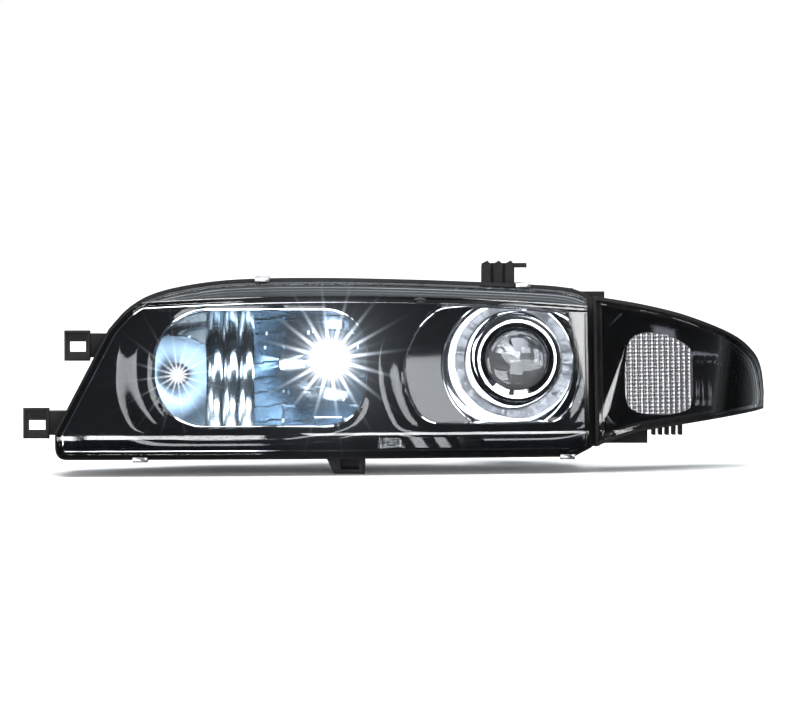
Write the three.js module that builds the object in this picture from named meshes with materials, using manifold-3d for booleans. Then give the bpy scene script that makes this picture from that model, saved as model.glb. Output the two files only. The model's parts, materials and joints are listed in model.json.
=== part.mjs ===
// Left-hand car headlamp with its corner lamp, in millimetres, +Z up.
// +X points outboard, towards the wing, and the lamp shines towards -Y.
// The shapes are drawn from the inner lower corner of the lens, and the whole lamp is then
// moved so that the bolting face of the top bracket is at the origin.

import * as THREE from "three";
import { mergeVertices } from "three/addons/utils/BufferGeometryUtils.js";
import Module from "manifold-3d";

const wasm = await Module();
wasm.setup();

// ---------------------------------------------------------------- driving dimensions

const GAP = 0.3; // between pieces that touch
const FRONT = -20; // in front of everything
const BACK = 320; // behind everything

// main unit, seen from the front
const INNER_END = -302;
const SEAM = 170; // plane between the main unit and the corner lamp
const CREASE = 23; // height of the fold along the foot of the lens
const MID_HEIGHT = 78;

// main lens surface
const SWEEP_LINEAR = 14;
const SWEEP_CURVE = 44;
const RAKE = 0.45; // how far the lens leans back for each millimetre of height
const FOOT_LEAN = 0.06;
const LEDGE_RAKE = 2.2;
const LEDGE_HEIGHT = 142;
const LENS_WALL = 3.2;
const RIM = 3.4; // width of the housing's channel around the lens
const BODY_INSET = 5;
const WALL = 2.6;
const SEAT_DEPTH = 22;
const SEAT_RAKE = 0.44;
const SEAL_THICK = 3;
const SEAL_WIDTH = 4;

// main housing
const REAR = 196;
const REAR_INNER = 110;
const REAR_SLOPE = 0.65;
const REAR_ROLL = 26;
const FLAT_HALF = 50; // half the height of the flat part of the rear wall

// corner lamp
const WRAP_WIDTH = 162;
const WRAP_DEPTH = 100;
const CORNER_START = 172.5;
const CORNER_END = 332;
const CORNER_SEAT = 12;
const CORNER_REAR = 158;
const CORNER_REAR_SLOPE = 0.42;

// optics
const BEZEL_DEPTH = 12;
const HIGH_BEAM = { x: -62.5, z: 84.5 };
const PROJECTOR = { x: 104.3, z: 85 };
const POSITION_LAMP = { x: -198, z: 71 };
const APEX = 158; // deepest point of the high-beam reflector
const FOCUS_X4 = 140; // four times its focal length
const CARRIER = { front: 164, back: 168 };
const REFLECTOR_DEPTH = 23; // from the bezel's face back to the reflector's rim
const REFLECTOR_BORE = 9;
const REFLECTOR_BOSSES = [{ x: -140, z: 122 }, { x: -36, z: 58 }, { x: -88, z: 45 }];
const FACET_EDGE = -130; // the facets are inboard of this
const FACETS = [[-172, -158], [-158, -144.5], [-144.5, FACET_EDGE]];
const STEP = 0.4;
const POSITION_SEAT = 123;
const LENS_RADIUS = 30;
const LENS_BACK = 129;
const TRIM_WINDOW = { x0: -19, x1: 74, z0: 9.6, z1: 18.6 };

// spring clips behind the two bulbs
const HIGH_CLIP = { centre: HIGH_BEAM, y: 169.4, rise: 30, drop: 24, half: 14.5, ear: 24 };
const LOW_CLIP = { centre: PROJECTOR, y: 223.4, rise: 21, drop: 17, half: 12.5, ear: 19 };

// aiming: a ball, a nut below it and a nut inboard of it
const PIVOT = { x: 18, y: 176, z: 130 };
const LOWER_NUT = { x: 18, z: 35 };
const INNER_NUT = { x: -155, z: 130 };
const SCREW_RADIUS = 3;
const NUT_BORE = 3.7;
const BUSH_END = 200;

// rear covers
const COLLAR = { inner: 42, outer: 45.8, end: 209 };
const VENT = { x: 150, z: 30 };
const GROMMET = { x: 18, z: 82 };

// turn signal lamp
const TURN = { x: 234, z: 74 };
const TURN_BORE = 12.5;
const TURN_COLLAR = 8; // how far the collar stands out of the rear wall

// brackets and screws
const UPPER_GRILLE = {
  x: -297, z: 84.5, y: 81, armEnd: -250,
  window: { x0: -292, x1: -278, z0: 92.6, z1: 101.6 },
};
const LOWER_GRILLE = {
  x: -331, z: 17.3, y: 51, armEnd: -284,
  window: { x0: -326, x1: -311.5, z0: 25, z1: 33.4 },
};
const WING_PAD = { x: 300, z: 68 };
const LAMP_SCREW = { x: 152, y: 158 };
const FOOT_SCREW = { x: 98, y: 168 };
const BOLT_HOLE = { x: 84, y: 166 };
const SCREW_HOLE = 2.6;

// the origin: bolting face of the top bracket
const BOLT_FACE = { x: 98, y: 166, z: 170 };

// ---------------------------------------------------------------- solids

function signedVolume(position, index) {
  const corner = (i) => new THREE.Vector3().fromArray(position, 3 * index[i]);
  let total = 0;
  for (let i = 0; i < index.length; i += 3) {
    total += corner(i).dot(corner(i + 1).cross(corner(i + 2)));
  }
  return total / 6;
}

// A closed three.js geometry as a solid, with its faces turned outwards.
function solid(geometry) {
  const bare = geometry.clone();
  bare.deleteAttribute("normal");
  bare.deleteAttribute("uv");
  const merged = mergeVertices(bare, 1e-4);
  const position = Float32Array.from(merged.attributes.position.array);
  const whole = Array.from(merged.index.array);
  const index = [];
  for (let i = 0; i < whole.length; i += 3) {
    const [a, b, c] = whole.slice(i, i + 3);
    if (a !== b && b !== c && c !== a) index.push(a, b, c);
  }
  if (signedVolume(position, index) < 0) index.reverse();
  const mesh = new wasm.Mesh({
    numProp: 3,
    vertProperties: position,
    triVerts: Uint32Array.from(index),
  });
  return new wasm.Manifold(mesh);
}

const join = (...pieces) => pieces.reduce((sum, piece) => sum.add(piece));
const cut = (body, ...tools) => tools.reduce((left, tool) => left.subtract(tool), body);

function box(x0, x1, y0, y1, z0, z1) {
  const geometry = new THREE.BoxGeometry(x1 - x0, y1 - y0, z1 - z0);
  geometry.translate((x0 + x1) / 2, (y0 + y1) / 2, (z0 + z1) / 2);
  return solid(geometry);
}

// A body of revolution about an axis along Y through (x, z); profile holds [radius, y].
function turned(profile, { x, z }, segments = 32) {
  const closed = profile[0][0] > 0 ? [...profile, profile[0]] : profile;
  const points = closed.map(([radius, y]) => new THREE.Vector2(radius, y));
  const geometry = new THREE.LatheGeometry(points, segments);
  geometry.translate(x, 0, z);
  return solid(geometry);
}

const rod = (radius, y0, y1, centre, segments = 14) =>
  turned([[0, y0], [radius, y0], [radius, y1], [0, y1]], centre, segments);

function crossRod(radius, x0, x1, y, z, segments = 16) {
  const geometry = new THREE.CylinderGeometry(radius, radius, x1 - x0, segments);
  geometry.rotateZ(Math.PI / 2);
  geometry.translate((x0 + x1) / 2, y, z);
  return solid(geometry);
}

function uprightRod(radius, x, y, z0, z1, segments = 14) {
  const geometry = new THREE.CylinderGeometry(radius, radius, z1 - z0, segments);
  geometry.rotateX(Math.PI / 2);
  geometry.translate(x, y, (z0 + z1) / 2);
  return solid(geometry);
}

// An outline in X and Z carried along Y.
function prism(outline, y0 = FRONT, y1 = BACK) {
  const geometry = new THREE.ExtrudeGeometry(new THREE.Shape(outline), {
    depth: y1 - y0,
    bevelEnabled: false,
  });
  geometry.rotateX(Math.PI / 2);
  geometry.translate(0, y1, 0);
  return solid(geometry);
}

const ring = (outer, inner, y0 = FRONT, y1 = BACK) =>
  prism(outer, y0, y1).subtract(prism(inner, y0 - 1, y1 + 1));

// A block between two surfaces y = front(x, z) and y = back(x, z), on a grid of columns
// in X and rows(x) in Z.
function slab(columns, rows, front, back) {
  const grid = columns.map((x) => rows(x).map((z) => [x, z]));
  const across = grid.length;
  const up = grid[0].length;
  const position = [front, back].flatMap((surface) =>
    grid.flatMap((column) => column.flatMap(([x, z]) => [x, surface(x, z), z])),
  );
  const at = (layer, i, j) => layer * across * up + i * up + j;
  const index = [];
  const quad = (a, b, c, d) => index.push(a, b, c, a, c, d);
  for (let i = 0; i < across - 1; i += 1) {
    for (let j = 0; j < up - 1; j += 1) {
      quad(at(0, i, j), at(0, i + 1, j), at(0, i + 1, j + 1), at(0, i, j + 1));
      quad(at(1, i, j), at(1, i, j + 1), at(1, i + 1, j + 1), at(1, i + 1, j));
    }
    quad(at(0, i, 0), at(1, i, 0), at(1, i + 1, 0), at(0, i + 1, 0));
    quad(at(0, i, up - 1), at(0, i + 1, up - 1), at(1, i + 1, up - 1), at(1, i, up - 1));
  }
  for (let j = 0; j < up - 1; j += 1) {
    const last = across - 1;
    quad(at(0, 0, j), at(0, 0, j + 1), at(1, 0, j + 1), at(1, 0, j));
    quad(at(0, last, j), at(1, last, j), at(1, last, j + 1), at(0, last, j + 1));
  }
  const geometry = new THREE.BufferGeometry();
  geometry.setAttribute("position", new THREE.Float32BufferAttribute(position, 3));
  geometry.setIndex(index);
  return solid(geometry);
}

// A ring-shaped solid through closed loops that have the same number of points.
function loft(loops) {
  const count = loops[0].length;
  const position = loops.flat().flatMap((point) => point.toArray());
  const index = [];
  loops.forEach((_, i) => {
    const next = (i + 1) % loops.length;
    for (let k = 0; k < count; k += 1) {
      const after = (k + 1) % count;
      const [a, b] = [i * count + k, i * count + after];
      const [c, d] = [next * count + after, next * count + k];
      index.push(a, b, c, a, c, d);
    }
  });
  const geometry = new THREE.BufferGeometry();
  geometry.setAttribute("position", new THREE.Float32BufferAttribute(position, 3));
  geometry.setIndex(index);
  return solid(geometry);
}

// A round wire through points, with tight bends at them.
function wire(points, radius) {
  const path = new THREE.CatmullRomCurve3(points, false, "catmullrom", 0.12);
  const section = new THREE.Shape();
  section.absarc(0, 0, radius, 0, 2 * Math.PI);
  const geometry = new THREE.ExtrudeGeometry(section, {
    extrudePath: path,
    steps: 20,
    curveSegments: 3,
    bevelEnabled: false,
  });
  return solid(geometry);
}

// ---------------------------------------------------------------- outlines in X and Z

const vectors = (pairs) => pairs.map(([x, z]) => new THREE.Vector2(x, z));
const spaced = (first, last, count) =>
  Array.from({ length: count + 1 }, (_, i) => first + ((last - first) * i) / count);

function outlineOf(shape, divisions) {
  const points = shape.getPoints(divisions);
  const fresh = (point, i) => point.distanceTo(points.at(i - 1)) > 0.05;
  return points.filter(fresh);
}

// Moves a counterclockwise outline outwards, or inwards where distance is negative, and
// drops the corners that a tight bend turns inside out.
function offset(outline, distance) {
  const moved = outline.map((point, i) => {
    const before = point.clone().sub(outline.at(i - 1)).normalize();
    const after = outline[(i + 1) % outline.length].clone().sub(point).normalize();
    const normal = new THREE.Vector2(before.y + after.y, -before.x - after.x);
    return point.clone().addScaledVector(normal, distance / (1 + before.dot(after)));
  });
  return moved.filter((point, i) => {
    const edge = outline[i].clone().sub(outline.at(i - 1));
    return point.clone().sub(moved.at(i - 1)).dot(edge) > 0;
  });
}

function mainOutline() {
  const shape = new THREE.Shape();
  shape.moveTo(-290, 0);
  shape.lineTo(154, 0);
  shape.lineTo(SEAM, 8);
  shape.lineTo(SEAM, 141.5);
  shape.splineThru(vectors([
    [151, 148], [110, 151.5], [20, 155.5], [-70, 157.5], [-140, 156.5],
    [-184, 152], [-218, 144], [-240, 131.5], [-257, 113],
  ]));
  shape.lineTo(-301.5, 24);
  shape.lineTo(-301, 11);
  shape.quadraticCurveTo(-300.5, 0, -290, 0);
  return outlineOf(shape, 2);
}

function cornerOutline() {
  const shape = new THREE.Shape();
  shape.moveTo(CORNER_START, 9);
  shape.quadraticCurveTo(196, 18.5, 214, 22.5);
  shape.lineTo(331, 37.5);
  shape.lineTo(CORNER_END, 53);
  shape.splineThru(vectors([
    [328.5, 74], [320, 90], [299, 106.5], [257, 123.5], [215, 134], [CORNER_START, 141],
  ]));
  return outlineOf(shape, 2);
}

function highBeamOpening() {
  const [left, right, foot, head] = [-217, -29, 27.5, 131];
  const [wide, tight] = [47, 37];
  const shape = new THREE.Shape();
  shape.absarc(left + wide, foot + wide, wide, Math.PI, 1.5 * Math.PI);
  shape.absarc(right - tight, foot + tight, tight, 1.5 * Math.PI, 2 * Math.PI);
  shape.absarc(right - tight, head - tight, tight, 0, 0.5 * Math.PI);
  shape.absarc(left + wide, head - wide, wide, 0.5 * Math.PI, Math.PI);
  return outlineOf(shape, 4);
}

function projectorOpening() {
  const curve = new THREE.SplineCurve(vectors([
    [44, 132], [26, 124], [11, 106], [2.8, 80], [10, 48], [26, 31], [60, 28.5], [112, 28.5],
    [138, 31], [153, 46], [162, 80], [155, 112], [141, 126], [94, 132], [44, 132],
  ]));
  const points = curve.getPoints(26);
  points.pop();
  return points;
}

const MAIN = mainOutline();
const CORNER = cornerOutline();
const HIGH_OPENING = highBeamOpening();
const PROJECTOR_OPENING = projectorOpening();

// ---------------------------------------------------------------- surfaces y = f(x, z)

function sweep(x) {
  const along = (x - INNER_END) / (SEAM - INNER_END);
  return SWEEP_LINEAR * along + SWEEP_CURVE * along ** 2;
}

const ledge = (x) => LEDGE_HEIGHT - 0.00018 * (x + 60) ** 2;

function lean(z) {
  return z < CREASE ? FOOT_LEAN * (CREASE - z) : RAKE * (z - CREASE);
}

function mainFace(x, z) {
  const above = Math.max(0, z - ledge(x));
  return sweep(x) + lean(z - above) + LEDGE_RAKE * above;
}

const bezelFace = (x, z) => sweep(x) + lean(z) + BEZEL_DEPTH;
const reflectorRim = (x, z) => bezelFace(x, z) + REFLECTOR_DEPTH;
const mainSeat = (x, z) => sweep(x) + SEAT_DEPTH + SEAT_RAKE * z;

function mainRear(x, z) {
  const flat = Math.min(REAR, REAR_INNER + REAR_SLOPE * (x - INNER_END));
  const beyond = Math.max(0, Math.abs(z - MID_HEIGHT) - FLAT_HALF);
  return flat - REAR_ROLL * (beyond / (MID_HEIGHT - FLAT_HALF)) ** 2;
}

function cornerFace(x, z) {
  const across = Math.min(1, (x - SEAM) / WRAP_WIDTH);
  const round = WRAP_DEPTH * (1 - Math.sqrt(1 - across ** 2));
  const straight = ((SWEEP_LINEAR + 2 * SWEEP_CURVE) / (SEAM - INNER_END)) * (x - SEAM);
  return sweep(SEAM) + round + straight + lean(z) * (1 - 0.55 * across);
}

const cornerSeat = (x, z) => cornerFace(x, z) + CORNER_SEAT;
const cornerRear = (x) => CORNER_REAR + CORNER_REAR_SLOPE * (x - SEAM);

const behind = (surface, distance) => (x, z) => surface(x, z) + distance;

// The rear wall stops sloping at this place, so a column stands there.
const REAR_KINK = INNER_END + (REAR - REAR_INNER) / REAR_SLOPE;
const MAIN_COLUMNS = [
  ...spaced(INNER_END - 6, REAR_KINK, 3), ...spaced(REAR_KINK, SEAM + 6, 6).slice(1),
];
const CORNER_COLUMNS = [
  SEAM - 4,
  ...spaced(0, 82, 7).map((degrees) => SEAM + WRAP_WIDTH * Math.sin((degrees * Math.PI) / 180)),
  CORNER_END + 3,
];
// The face is straight between these heights, and the rear wall rolls over near its edges.
const mainRows = (x) => [-8, CREASE, ledge(x), 166];
const mainRearRows = () => [-8, 8, 28, 128, 148, 166];
const cornerRows = () => [-2, CREASE, 148];

const MAIN_UNIT = {
  outline: MAIN,
  columns: MAIN_COLUMNS,
  rows: mainRows,
  rearRows: mainRearRows,
  face: mainFace,
  seat: mainSeat,
  rear: mainRear,
};
const CORNER_UNIT = {
  outline: CORNER,
  columns: CORNER_COLUMNS,
  rows: cornerRows,
  rearRows: cornerRows,
  face: cornerFace,
  seat: cornerSeat,
  rear: cornerRear,
};

// ---------------------------------------------------------------- lens, seal and housing

function lampLens({ outline, columns, rows, face, seat }) {
  const edge = offset(outline, -RIM);
  const pane = prism(edge).intersect(slab(columns, rows, face, behind(face, LENS_WALL)));
  const skirt = ring(edge, offset(edge, -WALL)).intersect(slab(columns, rows, face, seat));
  return join(pane, skirt);
}

function lampSeal({ outline, columns, rows, seat }) {
  const edge = offset(outline, -RIM);
  const band = slab(columns, rows, behind(seat, GAP), behind(seat, GAP + SEAL_THICK));
  return ring(edge, offset(edge, -SEAL_WIDTH)).intersect(band);
}

function lampHousing({ outline, columns, rows, rearRows, seat, rear }) {
  const floor = SEAL_THICK + 2 * GAP;
  const inside = offset(outline, -BODY_INSET - WALL);
  const body = prism(offset(outline, -BODY_INSET))
    .intersect(slab(columns, rearRows, behind(seat, floor), rear));
  const hollow = prism(inside)
    .intersect(slab(columns, rearRows, () => FRONT, behind(rear, -WALL)));
  const channel = ring(outline, offset(outline, GAP - RIM))
    .intersect(slab(columns, rows, behind(seat, -4), behind(seat, floor + 1)));
  const shelf = ring(outline, inside)
    .intersect(slab(columns, rows, behind(seat, floor), behind(seat, floor + WALL)));
  return join(cut(body, hollow), channel, shelf);
}

// A flat strip behind the seam, so that nothing shows through it.
function seamStrip() {
  const columns = [SEAM - 2, CORNER_START + BODY_INSET - GAP];
  const floor = SEAL_THICK + 2 * GAP;
  const rows = () => [12, 138];
  return slab(columns, rows, behind(mainSeat, floor), behind(mainSeat, floor + WALL));
}

function mainHousing() {
  const shell = lampHousing(MAIN_UNIT);
  const wallInside = REAR - WALL - 1;
  const collars = [HIGH_BEAM, PROJECTOR].map((centre) =>
    rod(COLLAR.outer, wallInside, COLLAR.end, centre, 24));
  const bushes = [PIVOT, LOWER_NUT, INNER_NUT].map((centre) =>
    rod(9, wallInside - 2, BUSH_END, centre));
  const spouts = [rod(9, wallInside, REAR + 7, VENT)];
  const bores = [
    ...[HIGH_BEAM, PROJECTOR].map((centre) => rod(COLLAR.inner, 150, BACK, centre, 24)),
    ...[PIVOT, LOWER_NUT, INNER_NUT].map((centre) => rod(3.5, 150, BACK, centre)),
    rod(4, 150, BACK, VENT),
    rod(8, 150, BACK, GROMMET),
    uprightRod(2.8, LAMP_SCREW.x, LAMP_SCREW.y, 120, 160, 14),
    uprightRod(SCREW_HOLE, FOOT_SCREW.x, FOOT_SCREW.y, 130, 160, 14),
  ];
  return cut(join(shell, seamStrip(), ...collars, ...bushes, ...spouts), ...bores);
}

function cornerHousing() {
  const shell = lampHousing(CORNER_UNIT);
  const rear = cornerRear(TURN.x);
  const collar = rod(17, rear - 12, rear + TURN_COLLAR, TURN, 22);
  const padRear = cornerRear(WING_PAD.x);
  const wingPad = rod(9, padRear - 10, padRear + 12, WING_PAD);
  const lug = cut(
    box(140, 184, 151, 165, 130, 144.5),
    prism(offset(MAIN, GAP - BODY_INSET)),
    uprightRod(2.9, LAMP_SCREW.x, LAMP_SCREW.y, 120, 160),
  );
  const foot = box(180, 222, 132, 150, 9, 32);
  const ribs = spaced(228, 252, 4).map((x) => box(x - 1.6, x + 1.6, 136, 160, 16, 36));
  const keep = prism(offset(CORNER, -BODY_INSET - WALL + GAP));
  const outside = [foot, ...ribs].map((piece) => cut(piece, keep));
  return cut(join(shell, collar, wingPad, lug, ...outside), rod(TURN_BORE, 120, BACK, TURN, 22));
}

// ---------------------------------------------------------------- trim behind the lens

function bezelOutline() {
  return offset(MAIN, -RIM - WALL - 1).map(
    ({ x, y }) => new THREE.Vector2(x, Math.min(y, ledge(x) - 5)),
  );
}

function bezelMask() {
  const plate = slab(MAIN_COLUMNS, mainRows, bezelFace, behind(bezelFace, WALL));
  const { x0, x1, z0, z1 } = TRIM_WINDOW;
  return cut(
    prism(bezelOutline()).intersect(plate),
    prism(HIGH_OPENING),
    prism(PROJECTOR_OPENING),
    box(x0, x1, FRONT, BACK, z0, z1),
  );
}

function trimInsert() {
  const { x0, x1, z0, z1 } = TRIM_WINDOW;
  const front = behind(bezelFace, WALL + GAP);
  return slab(spaced(x0 - 2, x1 + 2, 6), () => [z0 - 2, z1 + 2], front, behind(front, 2));
}

function trimRing() {
  const wall = slab(MAIN_COLUMNS, mainRows, behind(bezelFace, -1), behind(bezelFace, 11));
  const edge = offset(HIGH_OPENING, -GAP);
  return ring(edge, offset(edge, -1.6)).intersect(wall);
}

// Deep at the foot and shallow at the head, because the bezel leans and the bowl is upright.
const shroudFloor = (x, z) => bezelFace(x, z) + 34 - 0.255 * (z - 29);

function circle(centre, radius, y, count = 24) {
  return Array.from({ length: count }, (_, i) => {
    const angle = (2 * Math.PI * i) / count;
    const x = centre.x + radius * Math.cos(angle);
    const z = centre.z + radius * Math.sin(angle);
    return new THREE.Vector3(x, typeof y === "function" ? y(x, z) : y, z);
  });
}

function projectorShroud() {
  const edge = offset(PROJECTOR_OPENING, -GAP);
  const inside = offset(edge, -1.8);
  const mouth = { x: 96, z: 80 };
  const wall = ring(edge, inside).intersect(
    slab(MAIN_COLUMNS, mainRows, behind(bezelFace, -1), behind(shroudFloor, 2)));
  const floor = cut(
    prism(edge).intersect(slab(MAIN_COLUMNS, mainRows, shroudFloor, behind(shroudFloor, 2))),
    rod(59, 0, BACK, mouth, 24),
  );
  const waist = { x: (mouth.x + PROJECTOR.x) / 2, z: (mouth.z + PROJECTOR.z) / 2 };
  const bowl = loft([
    circle(mouth, 58.8, shroudFloor),
    circle(waist, 49, 119),
    circle(PROJECTOR, 41, 128),
    circle(PROJECTOR, 43, 130),
    circle(waist, 51.5, 121.5),
    circle(mouth, 61, behind(shroudFloor, 2)),
  ]).intersect(prism(edge));
  return join(wall, floor, bowl);
}

// ---------------------------------------------------------------- clips, brackets, screws

const outlineHeight = (x, top) => {
  const across = MAIN.filter((_, i) => {
    const next = MAIN[(i + 1) % MAIN.length];
    return top ? MAIN[i].x >= x && next.x < x : MAIN[i].x <= x && next.x > x;
  });
  const start = across[0];
  const end = MAIN[(MAIN.indexOf(start) + 1) % MAIN.length];
  return start.y + ((end.y - start.y) * (x - start.x)) / (end.x - start.x);
};

// A spring clip that pinches the lens skirt and the housing channel together.
function lensClip(x, top) {
  const half = 6.5;
  const side = top ? 1 : -1;
  const edge = outlineHeight(x, top);
  const seat = mainSeat(x, edge);
  const reach = [seat - 9, seat + 11];
  const level = (distance) => edge + side * distance;
  const span = (a, b) => [Math.min(level(a), level(b)), Math.max(level(a), level(b))];
  const leaf = box(x - half, x + half, ...reach, ...span(1, 1.9));
  const nose = box(x - half, x + half, reach[0], reach[0] + 0.9, ...span(-2.6, 1.9));
  const tail = box(x - half, x + half, reach[1] - 0.9, reach[1], ...span(-3.8, 1.9));
  const tongue = box(x - 3, x + 3, reach[0] - 3, reach[0] + 0.9, ...span(-2.6, -1.8));
  return join(leaf, nose, tail, tongue);
}

// A plate with a rectangular window that hooks over the grille, on an arm from the housing.
function grilleBracket({ x, z, y, armEnd, window }) {
  const [width, height, thick] = [23, 27, 4];
  const plate = box(x, x + width, y, y + thick, z, z + height);
  const frame = box(x, x + width, y - 1.6, y + 0.5, z, z + height);
  const recess = box(x + 2.4, x + width - 2.4, y - 2, y, z + 2.4, z + height - 2.4);
  const arm = box(x + width - 3, armEnd, y, y + 22, z + 3, z + height - 3);
  const slot = box(x + 0.5, x + width - 6, y + thick, y + 23, z - 1, z + height + 1);
  const opening = box(window.x0, window.x1, y - 5, y + thick + 5, window.z0, window.z1);
  return cut(
    join(plate, cut(frame, recess), cut(arm, slot)),
    opening,
    prism(offset(MAIN, GAP - BODY_INSET)),
  );
}

function topBracket() {
  const { x, y, z } = BOLT_FACE;
  const [left, right, front] = [73, 103, 147];
  const foot = box(left - 3, right + 3, front, y + 12, 136, 152);
  const web = box(left, right, front + 5, front + 9, 150, z - 2);
  const ribs = spaced(left + 4.5, right - 4.5, 2).map((middle) => {
    const outline = vectors([
      [middle - 3.6, 150], [middle + 3.6, 150], [middle + 4.2, z - 1], [middle + 1.2, z + 2.5],
      [middle - 4.2, z - 0.5],
    ]);
    return prism(outline, front, front + 8);
  });
  const pad = box(left + 1, x + 16, front + 6, y + 11, z - 4, z);
  const stay = box(left + 1, left + 4, front + 6, y + 11, 150, z - 2);
  return cut(
    join(foot, web, ...ribs, pad, stay),
    prism(offset(MAIN, GAP - BODY_INSET)),
    uprightRod(3.6, BOLT_HOLE.x, BOLT_HOLE.y, z - 10, z + 10),
    uprightRod(SCREW_HOLE, FOOT_SCREW.x, FOOT_SCREW.y, 130, 156),
  );
}

function lowerBracket() {
  const web = prism(vectors([[-69, 8], [-57.6, -14], [-30.6, -14], [-30.6, 8]]), 54, 92);
  const pocket = box(-52, -36, 50, 86, -10, 2);
  return cut(web, pocket, prism(offset(MAIN, GAP - BODY_INSET)));
}

// A pan-head screw standing on a face, its head up.
function panScrew(x, y, z, length) {
  const head = uprightRod(4.4, x, y, z, z + 3, 14);
  const shank = uprightRod(2.1, x, y, z - length, z + 0.5, 10);
  const slots = [box(x - 2.4, x + 2.4, y - 0.5, y + 0.5, z + 1.4, z + 4),
    box(x - 0.5, x + 0.5, y - 2.4, y + 2.4, z + 1.4, z + 4)];
  return cut(join(head, shank), ...slots);
}

// ---------------------------------------------------------------- aiming mechanism

function ballStud() {
  const { y } = PIVOT;
  const ball = new THREE.SphereGeometry(5, 12, 8);
  ball.translate(PIVOT.x, y, PIVOT.z);
  const neck = rod(2.6, y, y + 12, PIVOT);
  const shank = rod(3.2, y + 11, BUSH_END + 3, PIVOT);
  const head = rod(6, BUSH_END + GAP, BUSH_END + 5, PIVOT, 6);
  return join(solid(ball), neck, shank, head);
}

function ballSocket() {
  const { x, y, z } = PIVOT;
  const [start, end] = [CARRIER.back + GAP, y + 3];
  const cavity = new THREE.SphereGeometry(5.6, 12, 8);
  cavity.translate(x, y, z);
  const mouth = turned([[0, y], [4.6, y], [5.6, y + 5], [0, y + 5]], PIVOT, 20);
  return cut(rod(9, start, end, PIVOT), solid(cavity), mouth);
}

function adjusterScrew(centre) {
  const { x, z } = centre;
  const shaft = rod(SCREW_RADIUS, 160, BUSH_END + 15, centre, 14);
  const slot = box(x - 4, x + 4, BUSH_END + 13.5, BUSH_END + 16, z - 0.6, z + 0.6);
  return cut(shaft, slot);
}

function adjusterKnob(centre) {
  const [start, end] = [BUSH_END + GAP, BUSH_END + 12];
  const points = 24;
  const toothed = Array.from({ length: points }, (_, i) => {
    const angle = (2 * Math.PI * i) / points;
    const radius = i % 2 ? 13.6 : 11.6;
    return [centre.x + radius * Math.cos(angle), centre.z + radius * Math.sin(angle)];
  });
  const wheel = prism(vectors(toothed), start + 2, end - 2);
  const hub = rod(8, start, end, centre, 16);
  return cut(join(wheel, hub), rod(SCREW_RADIUS + GAP, start - 1, end + 1, centre, 14));
}

// The inboard nut turns on two short pins, so it can follow the frame as that tilts.
function trunnionNut() {
  const { x, z } = INNER_NUT;
  const barrel = crossRod(6.6, x - 6, x + 6, PIVOT.y, z, 18);
  const pins = crossRod(2.6, x - 9.5, x + 9.5, PIVOT.y, z, 16);
  return cut(join(barrel, pins), rod(NUT_BORE, PIVOT.y - 12, PIVOT.y + 12, INNER_NUT));
}

function lowerNut() {
  const { x, z } = LOWER_NUT;
  const block = box(x - 7, x + 7, CARRIER.back + GAP, PIVOT.y + 5, z - 7, z + 7);
  return cut(block, rod(NUT_BORE, PIVOT.y - 20, PIVOT.y + 20, LOWER_NUT));
}

function carrierFrame() {
  const { front, back } = CARRIER;
  const outline = vectors([
    [-172, 116], [-146, 104], [-118, 60], [-96, 30], [-40, 24], [148, 24], [154, 40],
    [154, 128], [144, 135], [-162, 139], [-172, 134],
  ]);
  const plate = prism(outline, front, back);
  const rail = box(36, 146, back - 1, back + 5, 24.5, 27.5);
  const cheeks = [-1, 1].map((side) => {
    const middle = INNER_NUT.x + side * 8;
    return box(middle - 1.6, middle + 1.6, back - 1, PIVOT.y + 5, 123, 136);
  });
  const lugs = clipLugs(HIGH_CLIP);
  return cut(
    join(plate, rail, ...cheeks, ...lugs),
    rod(31, front - 5, back + GAP, HIGH_BEAM, 24),
    rod(40, front - 5, back + 1, PROJECTOR, 26),
    rod(6, front - 5, back + 5, PIVOT),
    rod(5, front - 5, back + 5, LOWER_NUT),
    rod(5, front - 5, back + 5, INNER_NUT),
    crossRod(3, INNER_NUT.x - 14, INNER_NUT.x + 14, PIVOT.y, INNER_NUT.z, 20),
    ...clipBores(HIGH_CLIP),
  );
}

// ---------------------------------------------------------------- bulb clips

// A wire loop hinged above the bulb, that springs down over the bulb's flange.
function bulbClip({ centre, y, rise, drop, half, ear }) {
  const at = (x, z) => new THREE.Vector3(centre.x + x, y, centre.z + z);
  const route = [
    at(-ear, rise), at(-half - 1, rise), at(-half, rise - 1), at(-half, 1 - drop),
    at(1 - half, -drop), at(half - 1, -drop), at(half, 1 - drop), at(half, rise - 1),
    at(half + 1, rise), at(ear, rise),
  ];
  return wire(route, 0.9);
}

const clipSides = ({ centre, half, ear }) => [-1, 1].map((side) => {
  const ends = [centre.x + side * (half + 3.5), centre.x + side * (ear + 1.5)];
  return [Math.min(...ends), Math.max(...ends)];
});

const clipLugs = (clip) => clipSides(clip).map(([x0, x1]) => {
  const z = clip.centre.z + clip.rise;
  return box(x0, x1, clip.y - 4.5, clip.y + 3, z - 3, z + 3);
});

const clipBores = (clip) => clipSides(clip).map(([x0, x1]) =>
  crossRod(1.3, x0 - 1, x1 + 1, clip.y, clip.centre.z + clip.rise, 12));

// ---------------------------------------------------------------- high beam

const bulbDistance = (x, z, centre) => (x - centre.x) ** 2 + (z - centre.z) ** 2;

function dish(x, z) {
  const inner = Math.max(x, FACET_EDGE);
  const depth = APEX - bulbDistance(inner, z, HIGH_BEAM) / FOCUS_X4;
  return depth - 0.12 * (inner - x);
}

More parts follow.
